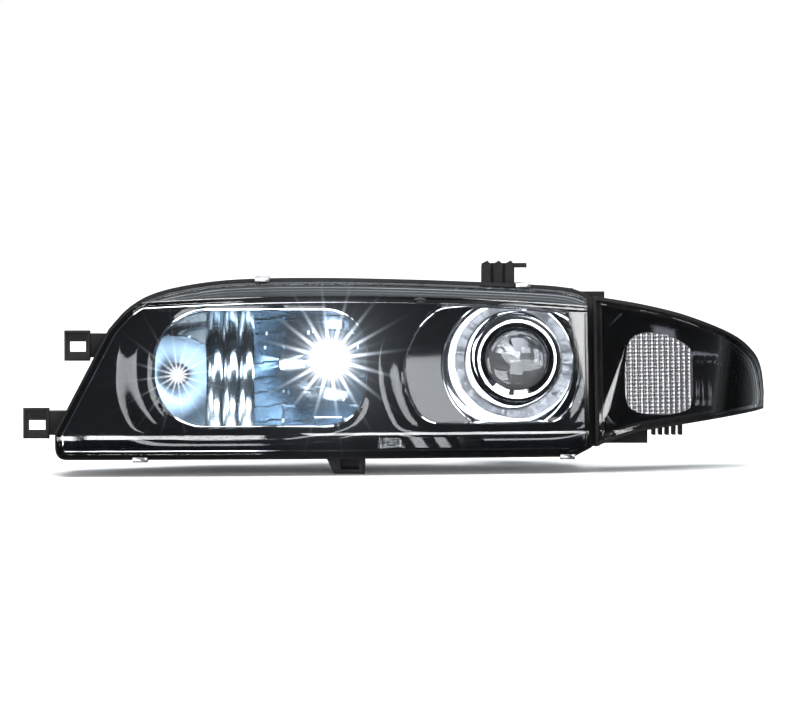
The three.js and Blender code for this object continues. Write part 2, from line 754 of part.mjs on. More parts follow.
// Paraboloid behind the bulb, three upright facets, and a small bowl for the position bulb.
function reflectorFace(x, z) {
  if (x > FACET_EDGE) return dish(x, z);
  const number = FACETS.findIndex(([x0, x1]) => x > x0 && x <= x1);
  if (number < 0) {
    const bowl = 117 - bulbDistance(x, z, POSITION_LAMP) / 40;
    return Math.max(bowl, reflectorRim(x, z) + 7);
  }
  const [x0, x1] = FACETS[number];
  const middle = (x0 + x1) / 2;
  return dish(x, z) - 9 + 3 * number - 0.05 * (x - middle) ** 2;
}

function reflectorBack(x, z) {
  return Math.max(dish(x, z), reflectorFace(x, z)) + 2.6;
}

function highBeamReflector() {
  const steps = FACETS.flatMap(([x0, x1]) => [x0 + STEP, x1]);
  const columns = [
    ...spaced(-226, FACETS[0][0], 4), ...steps, ...spaced(FACET_EDGE + STEP, -18, 6),
  ];
  const rows = () => spaced(18, 140, 5);
  const mouth = offset(HIGH_OPENING, 1.6);
  const edge = offset(mouth, 2.2);
  const bowl = prism(edge).intersect(slab(columns, rows, reflectorFace, reflectorBack));
  const wall = ring(edge, mouth).intersect(slab(columns, rows, reflectorRim, reflectorBack));
  const hub = rod(21, APEX - 3, CARRIER.front - GAP, HIGH_BEAM);
  const seat = rod(13, POSITION_SEAT - 10, POSITION_SEAT, POSITION_LAMP);
  const bosses = REFLECTOR_BOSSES.map((centre) =>
    rod(5, reflectorBack(centre.x, centre.z) - 2, CARRIER.front - GAP, centre, 12));
  return cut(
    join(bowl, wall, hub, seat, ...bosses),
    rod(REFLECTOR_BORE, 120, 200, HIGH_BEAM),
    rod(8.5, 90, 200, POSITION_LAMP),
  );
}

// A capsule of glass with its tip towards the front.
function bulbGlass(centre, radius, tip, seat) {
  const round = spaced(0, 90, 3).map((degrees) => {
    const angle = (degrees * Math.PI) / 180;
    return [radius * Math.sin(angle), tip + radius * (1 - Math.cos(angle))];
  });
  return turned([...round, [radius, seat], [0, seat]], centre, 14);
}

function bulbBase(centre, start, flange, length, connector) {
  const profile = [
    [0, start], [7, start], [7, start + 3], [flange, start + 3], [flange, start + 5.4],
    [11, start + 5.4], [11, start + length], [0, start + length],
  ];
  const base = turned(profile, centre, 18);
  const end = start + length;
  const spade = box(centre.x - 8, centre.x + 8, end - 2, end + connector, centre.z - 5, centre.z + 5);
  return join(base, spade);
}

// A sleeve round the bulb's tip, held by a flat plate on its inner side.
function glareShield() {
  const [front, back] = [112, 113.6];
  const sleeve = turned([[8.4, 108], [9.4, 108], [9.4, 122], [8.4, 122]], HIGH_BEAM, 20);
  const plate = prism(vectors([
    [-107.5, 78], [-105, 73.5], [-85, 73.5], [-85, 89], [-104, 89], [-107.5, 85],
  ]), front, back);
  const strap = box(-86, -70, front, back, 80, 86);
  const heel = box(-106.5, -104.5, front, dish(-104.5, 81) - 4, 78, 84);
  return join(sleeve, plate, strap, heel);
}

function positionHolder() {
  const seat = POSITION_SEAT + GAP;
  const body = turned([[0, 112], [7, 112], [7, seat], [12, seat], [12, seat + 3], [8, seat + 3],
    [8, seat + 14], [0, seat + 14]], POSITION_LAMP, 16);
  const { x, z } = POSITION_LAMP;
  return join(body, box(x - 11, x + 11, seat + 12, seat + 20, z - 2, z + 2));
}

// ---------------------------------------------------------------- projector

function projectorLens() {
  const bulge = spaced(0, 90, 4).map((degrees) => {
    const angle = (degrees * Math.PI) / 180;
    return [LENS_RADIUS * Math.sin(angle), 124 - 15 * Math.cos(angle)];
  });
  return turned([...bulge, [LENS_RADIUS, LENS_BACK], [0, LENS_BACK]], PROJECTOR, 24);
}

function lensRetainer() {
  return turned([[32.6, 107], [35.5, 107], [35.5, 122.7], [30.4, 122.7], [30.4, 118.5],
    [28.5, 117], [28.5, 115.5], [32.6, 113]], PROJECTOR, 24);
}

function lensHolder() {
  const edge = LENS_RADIUS + GAP;
  const end = CARRIER.front - GAP;
  return turned([[edge, 123], [35.5, 123], [36, 132], [44, 158], [50, 158], [50, end],
    [40, end], [40, 158.5], [31, 132], [28, 131], [28, 129.3], [edge, 129.3]], PROJECTOR, 24);
}

function cutoffShield() {
  const disc = rod(39, CARRIER.front + 0.5, CARRIER.front + 2, PROJECTOR, 26);
  const { x, z } = PROJECTOR;
  const light = prism(vectors([[x - 34, z + 1], [x - 2, z + 1], [x + 6, z - 4], [x + 34, z - 4],
    [x + 28, z + 22], [x, z + 34], [x - 28, z + 22]]), 150, 180);
  return cut(disc, light);
}

function projectorBowl() {
  const [start, length, mouth] = [CARRIER.back + GAP, 50, 39];
  const curve = (extra) => spaced(0, 76, 4).map((degrees) => {
    const angle = (degrees * Math.PI) / 180;
    return [(mouth + extra) * Math.cos(angle), start + (length + extra) * Math.sin(angle)];
  });
  const inner = curve(0);
  const outer = curve(2.4).reverse();
  const shell = turned([...inner, ...outer, [49, start + 2.4], [49, start]], PROJECTOR, 22);
  const lugs = clipLugs(LOW_CLIP);
  const { x, z } = PROJECTOR;
  const yoke = cut(
    box(x - 21, x + 21, start + length - 5, start + length - 2, z + 4, z + 24),
    rod(17, start, start + length, PROJECTOR),
  );
  const posts = clipSides(LOW_CLIP).map(([x0, x1]) =>
    box(x0, x1, start + length - 5, LOW_CLIP.y - 2, z + LOW_CLIP.rise - 3, z + LOW_CLIP.rise + 3));
  return cut(join(shell, yoke, ...posts, ...lugs), ...clipBores(LOW_CLIP));
}

// ---------------------------------------------------------------- rear covers

function rearCap(centre, depth) {
  const end = COLLAR.end + depth;
  const cup = turned([
    [46.2, 199], [49, 199], [49, COLLAR.end + 3], [43, end], [0, end], [0, end - 2.6],
    [41.4, end - 2.6], [46.2, COLLAR.end + 4],
  ], centre, 24);
  const { x, z } = centre;
  const grip = box(x - 34, x + 34, end - 1, end + 7, z - 3.5, z + 3.5);
  const pips = [0, 120, 240].map((degrees) => {
    const angle = (degrees * Math.PI) / 180;
    return rod(3.5, 201, 209, { x: x + 48 * Math.cos(angle), z: z + 48 * Math.sin(angle) }, 10);
  });
  return cut(join(cup, grip, ...pips), rod(46.2, 190, 212, centre, 24));
}

const capSeal = (centre) =>
  turned([[42.2, COLLAR.end + GAP], [45.2, COLLAR.end + GAP], [45.2, COLLAR.end + 2.5],
    [42.2, COLLAR.end + 2.5]], centre, 24);

function ventCap() {
  const start = REAR + 7 + GAP;
  const { x, z } = VENT;
  const cup = turned([[0, start], [9, start], [9, start + 6], [7, start + 9], [0, start + 9]],
    VENT, 12);
  return join(cup, uprightRod(3.4, x, start + 4.5, z - 17, z, 10));
}

function wiringGrommet() {
  const [inside, outside] = [REAR - WALL, REAR];
  return turned([[0, inside - 3], [10, inside - 3], [10, inside - GAP], [7.6, inside - GAP],
    [7.6, outside + GAP], [12, outside + GAP], [11, outside + 4], [5, outside + 9],
    [0, outside + 9]], GROMMET, 16);
}

// ---------------------------------------------------------------- corner lamp inside

function flutedOptic() {
  const [pitch, depth] = [4.9, 1.1];
  const flutes = 13;
  const columns = spaced(198, 198 + flutes * pitch, flutes * 2);
  const ridge = (x) => (Math.round((x - 198) / (pitch / 2)) % 2 ? depth : 0);
  const face = (x, z) => cornerFace(x, z) + 9 - ridge(x);
  const outline = vectors([
    [200, 50], [208, 40], [226, 36], [252, 38], [261, 46], [261.5, 92], [250, 101],
    [230, 108.5], [212, 107], [202, 95],
  ]);
  return prism(outline).intersect(
    slab(columns, () => [CREASE, 112], face, (x, z) => cornerFace(x, z) + 11.5));
}

function cornerReflector() {
  const edge = offset(CORNER, -BODY_INSET - WALL - 2.8);
  const surface = (x, z) => {
    const reach = Math.min(1, Math.hypot(x - TURN.x, z - TURN.z) / 62);
    return cornerFace(x, z) + 15 + 24 * (1 - reach ** 2);
  };
  const columns = spaced(178, 300, 6);
  const rows = () => spaced(20, 136, 4);
  const trimmed = edge.map(({ x, y }) => new THREE.Vector2(Math.min(x, 299), y));
  return cut(
    prism(trimmed).intersect(slab(columns, rows, surface, behind(surface, 2.2))),
    rod(TURN_BORE + GAP, 60, 260, TURN, 18),
  );
}

function turnHolder() {
  const rear = cornerRear(TURN.x) + TURN_COLLAR + GAP;
  const body = turned([[0, rear - 34], [10, rear - 34], [10, rear - 16], [12, rear - 14],
    [12, rear], [19, rear], [19, rear + 4], [12, rear + 4], [12, rear + 14], [0, rear + 14]],
    TURN, 20);
  const { x, z } = TURN;
  const wings = box(x - 18, x + 18, rear + 3, rear + 10, z - 2.5, z + 2.5);
  return join(body, wings);
}

// ---------------------------------------------------------------- finishes

const finish = (color, roughness, metalness, extra = {}) =>
  new THREE.MeshStandardMaterial({ color, roughness, metalness, ...extra });

const CLEAR = finish(0xeef3f8, 0.03, 0, { transparent: true, opacity: 0.25 });
const SMOKED = finish(0x1a1b1e, 0.04, 0, { transparent: true, opacity: 0.6 });
const CHROME = finish(0xe6e9ec, 0.06, 1);
const DARK_CHROME = finish(0x2a2c30, 0.12, 1);
const GLOSS_BLACK = finish(0x0b0c0e, 0.08, 0);
const HOUSING_BLACK = finish(0x17181a, 0.6, 0);
const BRACKET_GREY = finish(0x2b2c2f, 0.65, 0);
const RUBBER = finish(0x101112, 0.85, 0);
const ZINC = finish(0xb9bdc2, 0.35, 1);
const STEEL = finish(0x9fa3a8, 0.3, 1);
const NYLON = finish(0xd9d6cc, 0.5, 0);
const GLASS = finish(0xffffff, 0.02, 0, { transparent: true, opacity: 0.35 });
const CAST = finish(0x6f7276, 0.5, 1);
const DARK_STEEL = finish(0x3a3c40, 0.5, 1);

// ---------------------------------------------------------------- assembly

const lamp = new THREE.Group();
lamp.position.set(-BOLT_FACE.x, -BOLT_FACE.y, -BOLT_FACE.z);

function add(name, body, material) {
  const { vertProperties, triVerts } = body.getMesh();
  const geometry = new THREE.BufferGeometry();
  geometry.setAttribute("position", new THREE.BufferAttribute(vertProperties, 3));
  geometry.setIndex(new THREE.BufferAttribute(triVerts, 1));
  const mesh = new THREE.Mesh(geometry, material);
  mesh.name = name;
  lamp.add(mesh);
}

add("main_housing", mainHousing(), HOUSING_BLACK);
add("main_lens", lampLens(MAIN_UNIT), CLEAR);
add("main_lens_seal", lampSeal(MAIN_UNIT), RUBBER);
add("bezel_mask", bezelMask(), GLOSS_BLACK);
add("bezel_window_insert", trimInsert(), CHROME);
add("high_beam_trim_ring", trimRing(), CHROME);
add("projector_shroud", projectorShroud(), CHROME);

add("upper_inner_lens_clip", lensClip(-122.5, true), ZINC);
add("upper_outer_lens_clip", lensClip(110, true), ZINC);
add("lower_inner_lens_clip", lensClip(-226.5, false), ZINC);
add("lower_outer_lens_clip", lensClip(148, false), ZINC);

add("upper_grille_bracket", grilleBracket(UPPER_GRILLE), BRACKET_GREY);
add("lower_grille_bracket", grilleBracket(LOWER_GRILLE), BRACKET_GREY);
add("top_mount_bracket", topBracket(), BRACKET_GREY);
add("lower_mount_bracket", lowerBracket(), BRACKET_GREY);

add("corner_housing", cornerHousing(), HOUSING_BLACK);
add("corner_lens", lampLens(CORNER_UNIT), SMOKED);
add("corner_lens_seal", lampSeal(CORNER_UNIT), RUBBER);
add("corner_inner_optic", flutedOptic(), CLEAR);
add("corner_reflector", cornerReflector(), DARK_CHROME);
add("corner_lamp_screw", panScrew(LAMP_SCREW.x, LAMP_SCREW.y, 144.8, 19), ZINC);
add("top_bracket_screw", panScrew(FOOT_SCREW.x, FOOT_SCREW.y, 152.3, 14), ZINC);
add("turn_bulb_holder", turnHolder(), HOUSING_BLACK);
add("turn_bulb", bulbGlass(TURN, 9, cornerRear(TURN.x) - 58, cornerRear(TURN.x) - 26), GLASS);

add("pivot_ball_stud", ballStud(), STEEL);
add("pivot_socket", ballSocket(), NYLON);
add("vertical_adjuster_screw", adjusterScrew(LOWER_NUT), STEEL);
add("vertical_adjuster_knob", adjusterKnob(LOWER_NUT), NYLON);
add("vertical_adjuster_nut", lowerNut(), NYLON);
add("horizontal_adjuster_screw", adjusterScrew(INNER_NUT), STEEL);
add("horizontal_adjuster_knob", adjusterKnob(INNER_NUT), NYLON);
add("horizontal_adjuster_nut", trunnionNut(), NYLON);
add("carrier_frame", carrierFrame(), DARK_STEEL);

add("high_beam_reflector", highBeamReflector(), CHROME);
add("high_beam_bulb", bulbGlass(HIGH_BEAM, 5.5, 124, 161), GLASS);
add("high_beam_bulb_base", bulbBase(HIGH_BEAM, 161.3, 20, 19, 10), ZINC);
add("high_beam_bulb_clip", bulbClip(HIGH_CLIP), STEEL);
add("high_beam_glare_shield", glareShield(), CHROME);
add("position_bulb", bulbGlass(POSITION_LAMP, 4.6, 94, 111.7), GLASS);
add("position_bulb_holder", positionHolder(), HOUSING_BLACK);

add("projector_lens", projectorLens(), GLASS);
add("projector_lens_retainer", lensRetainer(), CHROME);
add("projector_lens_holder", lensHolder(), CAST);
add("cutoff_shield", cutoffShield(), DARK_STEEL);
add("projector_bowl", projectorBowl(), CHROME);
add("low_beam_bulb", bulbGlass(PROJECTOR, 5.5, 186, 216.3), GLASS);
add("low_beam_bulb_base", bulbBase(PROJECTOR, 216.6, 16, 17, 0), ZINC);
add("low_beam_bulb_clip", bulbClip(LOW_CLIP), STEEL);

add("high_beam_cap", rearCap(HIGH_BEAM, 20), HOUSING_BLACK);
add("high_beam_cap_seal", capSeal(HIGH_BEAM), RUBBER);
add("low_beam_cap", rearCap(PROJECTOR, 58), HOUSING_BLACK);
add("low_beam_cap_seal", capSeal(PROJECTOR), RUBBER);
add("vent_cap", ventCap(), RUBBER);
add("wiring_grommet", wiringGrommet(), RUBBER);

export default lamp;
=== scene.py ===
"""Looks of a left-hand car headlamp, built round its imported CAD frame.

Lengths in the shape code are millimetres in the lamp's drawing frame: X outboard, Z up, and the
lamp shines towards -Y. make() turns them into metres in the row frame."""

import json
from math import cos, pi, radians, sin

import bmesh
import bpy
import numpy as np
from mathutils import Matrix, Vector

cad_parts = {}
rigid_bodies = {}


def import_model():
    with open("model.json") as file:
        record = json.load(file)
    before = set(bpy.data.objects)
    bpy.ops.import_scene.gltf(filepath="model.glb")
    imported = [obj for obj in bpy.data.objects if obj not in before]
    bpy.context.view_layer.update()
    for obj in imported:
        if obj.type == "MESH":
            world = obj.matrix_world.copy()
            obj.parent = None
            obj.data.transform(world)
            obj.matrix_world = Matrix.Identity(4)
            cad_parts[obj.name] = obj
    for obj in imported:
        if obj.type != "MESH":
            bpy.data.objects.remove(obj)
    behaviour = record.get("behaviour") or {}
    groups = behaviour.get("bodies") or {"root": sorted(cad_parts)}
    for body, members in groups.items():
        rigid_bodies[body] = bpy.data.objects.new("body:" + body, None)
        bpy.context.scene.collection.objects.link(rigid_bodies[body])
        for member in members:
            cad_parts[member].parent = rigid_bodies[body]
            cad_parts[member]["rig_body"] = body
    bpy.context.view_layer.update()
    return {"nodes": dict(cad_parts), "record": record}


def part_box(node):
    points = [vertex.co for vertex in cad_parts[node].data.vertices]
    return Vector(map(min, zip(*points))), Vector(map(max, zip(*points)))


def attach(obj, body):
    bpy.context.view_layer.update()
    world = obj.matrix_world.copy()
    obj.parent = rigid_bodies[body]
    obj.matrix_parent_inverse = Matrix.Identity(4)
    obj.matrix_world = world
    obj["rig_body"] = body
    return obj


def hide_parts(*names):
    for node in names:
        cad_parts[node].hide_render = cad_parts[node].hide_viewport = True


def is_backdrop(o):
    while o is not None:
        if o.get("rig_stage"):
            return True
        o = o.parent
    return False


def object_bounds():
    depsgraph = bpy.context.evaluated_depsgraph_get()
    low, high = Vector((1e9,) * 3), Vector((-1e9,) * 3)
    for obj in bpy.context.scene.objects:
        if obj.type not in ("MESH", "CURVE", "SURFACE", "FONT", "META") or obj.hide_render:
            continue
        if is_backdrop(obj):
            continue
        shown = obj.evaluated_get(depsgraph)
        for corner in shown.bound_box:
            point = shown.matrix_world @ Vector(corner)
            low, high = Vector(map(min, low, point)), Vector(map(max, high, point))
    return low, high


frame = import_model()

# ---- driving dimensions

MM = 0.001
GAP = 0.3
# Every solid lies between these two depths.
FRONT, BACK = -20.0, 320.0

INNER_END, SEAM, CREASE = -302.0, 170.0, 23.0
SWEEP_LINEAR, SWEEP_CURVE = 14.0, 44.0
RAKE, FOOT_LEAN, LEDGE_RAKE, LEDGE_HEIGHT = 0.45, 0.06, 2.2, 142.0
LENS_WALL, RIM, BODY_INSET, WALL = 3.2, 3.4, 5.0, 2.6
SEAT_DEPTH, SEAT_RAKE, SEAL_THICK = 22.0, 0.44, 3.0
REAR, REAR_INNER, REAR_SLOPE, REAR_ROLL = 196.0, 110.0, 0.65, 26.0
MID_HEIGHT, FLAT_HALF = 78.0, 50.0
WRAP_WIDTH, WRAP_DEPTH = 162.0, 100.0
CORNER_START, CORNER_END, CORNER_SEAT = 172.5, 332.0, 12.0
CORNER_REAR, CORNER_REAR_SLOPE = 158.0, 0.42

HIGH_BEAM = (-62.5, 84.5)
PROJECTOR = (104.3, 85.0)
POSITION_LAMP = (-198.0, 71.0)
TURN = (234.0, 74.0)
TURN_BORE, TURN_COLLAR = 12.5, 8.0
BEZEL_DEPTH = 12.0
PIVOT = (18.0, 130.0)
LOWER_NUT, INNER_NUT = (18.0, 35.0), (-155.0, 130.0)
BUSH_END = 200.0
COLLAR_INNER, COLLAR_OUTER, COLLAR_END = 42.0, 45.8, 209.0
VENT, GROMMET = (150.0, 30.0), (18.0, 82.0)
LAMP_SCREW, FOOT_SCREW, WING_PAD = (152.0, 158.0), (98.0, 168.0), (300.0, 68.0)
# The high beam's dish: its deepest point and four times its focal length.
APEX, FOCUS_X4 = 158.0, 140.0
LENS_RADIUS, GLASS_BACK = 30.0, 129.0

# The drawing frame's zero, in millimetres in the row frame.
HOUSING_LEFT = -301.5
_low, _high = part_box("main_housing")[0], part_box("projector_lens")[1]
ORIGIN = np.array([_low[0] / MM - HOUSING_LEFT, _high[1] / MM - GLASS_BACK, _low[2] / MM])


# ---- meshes

def show(name, data):
    """An object in the scene that carries a mesh, a lamp or a camera."""
    thing = bpy.data.objects.new(name, data)
    bpy.context.scene.collection.objects.link(thing)
    return thing


def make(name, vertices, faces):
    """A closed mesh object from drawing-frame points, with its faces turned outwards."""
    mesh = bpy.data.meshes.new(name)
    places = (np.asarray(vertices, float) + ORIGIN) * MM
    mesh.from_pydata(places.tolist(), [], faces)
    work = bmesh.new()
    work.from_mesh(mesh)
    bmesh.ops.remove_doubles(work, verts=work.verts, dist=1e-6)
    bmesh.ops.recalc_face_normals(work, faces=work.faces)
    work.to_mesh(mesh)
    work.free()
    return show(name, mesh)


def settle(piece):
    """Applies a piece's modifiers to its mesh."""
    graph = bpy.context.evaluated_depsgraph_get()
    mesh = bpy.data.meshes.new_from_object(piece.evaluated_get(graph))
    piece.modifiers.clear()
    piece.data = mesh
    return piece


def combine(body, how, *tools):
    """Joins tools to a body or cuts them away; the tools are used up."""
    for tool in tools:
        modifier = body.modifiers.new("combine", "BOOLEAN")
        modifier.operation = how
        modifier.solver = "MANIFOLD"
        modifier.object = tool
        settle(body)
        bpy.data.objects.remove(tool)
    return body


def join(body, *tools):
    return combine(body, "UNION", *tools)


def cut(body, *tools):
    return combine(body, "DIFFERENCE", *tools)


def common(body, tool):
    return combine(body, "INTERSECT", tool)


def bevel(piece, width, segments=2):
    """Rounds the edges that turn by more than 40 degrees."""
    modifier = piece.modifiers.new("bevel", "BEVEL")
    modifier.width = width * MM
    modifier.segments = segments
    modifier.limit_method = "ANGLE"
    modifier.angle_limit = radians(40)
    return settle(piece)


def box(x0, x1, y0, y1, z0, z1):
    corners = [(x, y, z) for x in (x0, x1) for y in (y0, y1) for z in (z0, z1)]
    faces = [(0, 1, 3, 2), (4, 6, 7, 5), (0, 4, 5, 1), (2, 3, 7, 6), (0, 2, 6, 4), (1, 5, 7, 3)]
    return make("box", corners, faces)


def prism(outline, y0=FRONT, y1=BACK, name="prism"):
    """An outline in X and Z carried along Y."""
    count = len(outline)
    vertices = [(x, y, z) for y in (y0, y1) for x, z in outline]
    faces = [tuple(range(count)), tuple(range(2 * count - 1, count - 1, -1))]
    for i in range(count):
        j = (i + 1) % count
        faces.append((i, i + count, j + count, j))
    return make(name, vertices, faces)


def ring(outer, inner, y0=FRONT, y1=BACK, name="ring"):
    return cut(prism(outer, y0, y1, name), prism(inner, y0 - 1, y1 + 1))


def slab(columns, rows, front, back, name="slab"):
    """A block between two surfaces y = f(x, z), on a grid of columns and rows(x)."""
    x = np.array([[c] * len(rows(c)) for c in columns], float)
    z = np.array([rows(c) for c in columns], float)
    across, up = x.shape
    layers = [np.stack([x, surface(x, z), z], axis=-1).reshape(-1, 3) for surface in (front, back)]
    index = np.arange(2 * across * up).reshape(2, across, up)
    faces = []
    for layer, turn in ((index[0], 1), (index[1], -1)):
        quads = np.stack([layer[:-1, :-1], layer[1:, :-1], layer[1:, 1:], layer[:-1, 1:]], -1)
        faces += quads.reshape(-1, 4)[:, ::turn].tolist()
    border = [*index[:, :, 0].T, *index[:, -1, 1:].T, *index[:, -2::-1, -1].T, *index[:, 0, -2:0:-1].T]
    for here, after in zip(border, border[1:] + border[:1]):
        faces.append([here[0], here[1], after[1], after[0]])
    return make(name, np.concatenate(layers), faces)


def even_rows(low, high, count):
    """The same rows in every column of a slab."""
    return lambda x: list(np.linspace(low, high, count))


def depth_at(surface, x, z):
    return float(surface(np.array(x), np.array(z)))


def grid_faces(rings, count, closed):
    """Quads between loops of count points, one loop after another."""
    faces = []
    for i in range(rings if closed else rings - 1):
        for k in range(count):
            here, there = i * count, ((i + 1) % rings) * count
            after = (k + 1) % count
            faces.append((here + k, here + after, there + after, there + k))
    return faces


def loft(loops, name="loft", closed=True):
    """A solid through loops with the same number of points; closed joins the last to the first."""
    faces = grid_faces(len(loops), len(loops[0]), closed)
    return make(name, [p for loop in loops for p in loop], faces)


def turned(profile, centre, segments=64, name="turned"):
    """A body of revolution about an axis along Y; profile holds (radius, y)."""
    angles = [2 * pi * k / segments for k in range(segments)]
    loops = [
        [(centre[0] + r * cos(a), y, centre[1] + r * sin(a)) for a in angles] for r, y in profile
    ]
    return loft(loops, name, profile[0][0] > 0)


def rod(radius, y0, y1, centre, segments=48, name="rod"):
    return turned([(0, y0), (radius, y0), (radius, y1), (0, y1)], centre, segments, name)


def tube_along(path, radius, name="tube"):
    """A round tube along a closed line of points."""
    sides = 10
    turns = [2 * pi * k / sides for k in range(sides)]
    points = [Vector(p) for p in path]
    loops = []
    for before, point, after in zip(points[-1:] + points, points, points[1:] + points[:1]):
        along = (after - before).normalized()
        side = along.cross(Vector((0, 1, 0)))
        side = side.normalized() if side.length > 0.05 else along.cross(Vector((0, 0, 1))).normalized()
        across = side.cross(along)
        loops.append([point + radius * (cos(t) * side + sin(t) * across) for t in turns])
    return loft(loops, name)


# ---- outlines in X and Z

def spline(points, divisions=8, closed=False):
    """Points along a Catmull-Rom curve."""
    nodes = np.array(points, float)
    ends = (nodes[-1:], nodes[:2]) if closed else (nodes[:1], nodes[-1:])
    nodes = np.concatenate([ends[0], nodes, ends[1]])
    t = (np.arange(divisions) / divisions)[:, None]
    result = []
    for a, b, c, d in zip(nodes, nodes[1:], nodes[2:], nodes[3:]):
        slope_b, slope_c = (c - a) / 2, (d - b) / 2
        result += [
            *(2 * t**3 - 3 * t**2 + 1) * b + (t**3 - 2 * t**2 + t) * slope_b
            + (3 * t**2 - 2 * t**3) * c + (t**3 - t**2) * slope_c
        ]
    return result if closed else [*result, nodes[-1]]


def corner(start, control, end, divisions=8):
    """Points along a quadratic curve, for a rounded corner."""
    a, b, c = (np.array(p, float) for p in (start, control, end))
    steps = [k / divisions for k in range(divisions + 1)]
    return [(1 - t) ** 2 * a + 2 * t * (1 - t) * b + t**2 * c for t in steps]


def arc(centre, radius, start, end, divisions=14):
    turns = [radians(start + (end - start) * k / divisions) for k in range(divisions + 1)]
    return [np.array([centre[0] + radius * cos(t), centre[1] + radius * sin(t)]) for t in turns]


def tidy(points):
    """An outline without points that repeat the one before them."""
    points = [np.array(p, float) for p in points]
    return np.array([p for i, p in enumerate(points) if np.hypot(*(p - points[i - 1])) > 0.05])


def offset(outline, distance):
    """Moves a counterclockwise outline outwards and drops corners turned inside out."""
    before = outline - np.roll(outline, 1, axis=0)
    unit = before / np.linalg.norm(before, axis=1)[:, None]
    after = np.roll(unit, -1, axis=0)
    total = unit + after
    normal = np.stack([total[:, 1], -total[:, 0]], axis=1)
    share = 1 + np.sum(unit * after, axis=1)
    moved = outline + normal * (distance / share)[:, None]
    kept = np.sum((moved - np.roll(moved, 1, axis=0)) * before, axis=1) > 0
    return moved[kept]


def refine(outline, longest=6.0):
    """Splits the long sides of an outline."""
    result = []
    for here, after in zip(outline, np.roll(outline, -1, axis=0)):
        parts = max(1, int(np.hypot(*(after - here)) / longest))
        result += [here + (after - here) * k / parts for k in range(parts)]
    return np.array(result)


def main_outline():
    head = [
        (SEAM, 141.5), (151, 148), (110, 151.5), (20, 155.5), (-70, 157.5), (-140, 156.5),
        (-184, 152), (-218, 144), (-240, 131.5), (-257, 113),
    ]
    foot = corner((-301, 11), (-300.5, 0), (-290, 0))
    return tidy([*foot, (154, 0), (SEAM, 8), *spline(head), (HOUSING_LEFT, 24)])


def corner_outline():
    foot = corner((CORNER_START, 9), (196, 18.5), (214, 22.5))
    head = [
        (CORNER_END, 53), (328.5, 74), (320, 90), (299, 106.5), (257, 123.5), (215, 134),
        (CORNER_START, 141),
    ]
    return tidy([*foot, (331, 37.5), *spline(head)])


def high_beam_opening():
    left, right, foot, head, wide, tight = -217, -29, 27.5, 131, 47, 37
    return tidy([
        *arc((left + wide, foot + wide), wide, 180, 270),
        *arc((right - tight, foot + tight), tight, 270, 360),
        *arc((right - tight, head - tight), tight, 0, 90),
        *arc((left + wide, head - wide), wide, 90, 180),
    ])


def projector_opening():
    return tidy(spline([
        (44, 132), (26, 124), (11, 106), (2.8, 80), (10, 48), (26, 31), (60, 28.5), (112, 28.5),
        (138, 31), (153, 46), (162, 80), (155, 112), (141, 126), (94, 132),
    ], divisions=7, closed=True))


MAIN = refine(main_outline())
CORNER = refine(corner_outline())
HIGH_OPENING = refine(high_beam_opening())
PROJECTOR_OPENING = projector_opening()


def distance_to(outline, x, z):
    """How far points lie outside an outline; zero inside it."""
    nearest = np.full(x.shape, np.inf)
    inside = np.zeros(x.shape, bool)
    for (ax, az), (dx, dz) in zip(outline, np.roll(outline, -1, axis=0) - outline):
        share = np.clip(((x - ax) * dx + (z - az) * dz) / (dx * dx + dz * dz), 0, 1)
        nearest = np.minimum(nearest, np.hypot(x - ax - share * dx, z - az - share * dz))
        if dz:
            inside ^= ((az > z) != (az + dz > z)) & (x < ax + dx * (z - az) / dz)
    return np.where(inside, 0.0, nearest)


# ---- surfaces y = f(x, z)

def behind(surface, distance):
    """The surface at a distance behind another one."""
    return lambda x, z: surface(x, z) + distance


def ramp(u, round_):
    """0 below 0 and u above it, with a round bend."""
    return np.where(u < -round_, 0, np.where(u > round_, u, (u + round_) ** 2 / (4 * round_)))


def sweep(x):
    along = (x - INNER_END) / (SEAM - INNER_END)
    return SWEEP_LINEAR * along + SWEEP_CURVE * along**2


def ledge(x):
    return LEDGE_HEIGHT - 0.00018 * (x + 60) ** 2


def lean(z, round_=5.0):
    return -FOOT_LEAN * (z - CREASE) + (RAKE + FOOT_LEAN) * ramp(z - CREASE, round_)


def main_face(x, z):
    above = z - ledge(x)
    steps = sum(0.1 * np.exp(-(((above + down) / 0.7) ** 2)) for down in (1.2, 4.4))
    return sweep(x) + lean(z) + (LEDGE_RAKE - RAKE) * ramp(above, 0.15) - steps


def main_seat(x, z):
    return sweep(x) + SEAT_DEPTH + SEAT_RAKE * z


def main_rear(x, z):
    beyond = np.maximum(0, np.abs(z - MID_HEIGHT) - FLAT_HALF)
    flat = REAR - ramp(REAR - REAR_INNER - REAR_SLOPE * (x - INNER_END), 8)
    return flat - REAR_ROLL * (beyond / (MID_HEIGHT - FLAT_HALF)) ** 2


def corner_face(x, z):
    across = np.minimum(1, (x - SEAM) / WRAP_WIDTH)
    round_ = WRAP_DEPTH * (1 - np.sqrt(1 - across**2))
    straight = (SWEEP_LINEAR + 2 * SWEEP_CURVE) / (SEAM - INNER_END) * (x - SEAM)
    return sweep(SEAM) + round_ + straight + lean(z) * (1 - 0.55 * across)


def corner_rear(x, z):
    return CORNER_REAR + CORNER_REAR_SLOPE * (x - SEAM) + 0 * z


def bezel_base(x, z):
    return sweep(x) + lean(z) + BEZEL_DEPTH


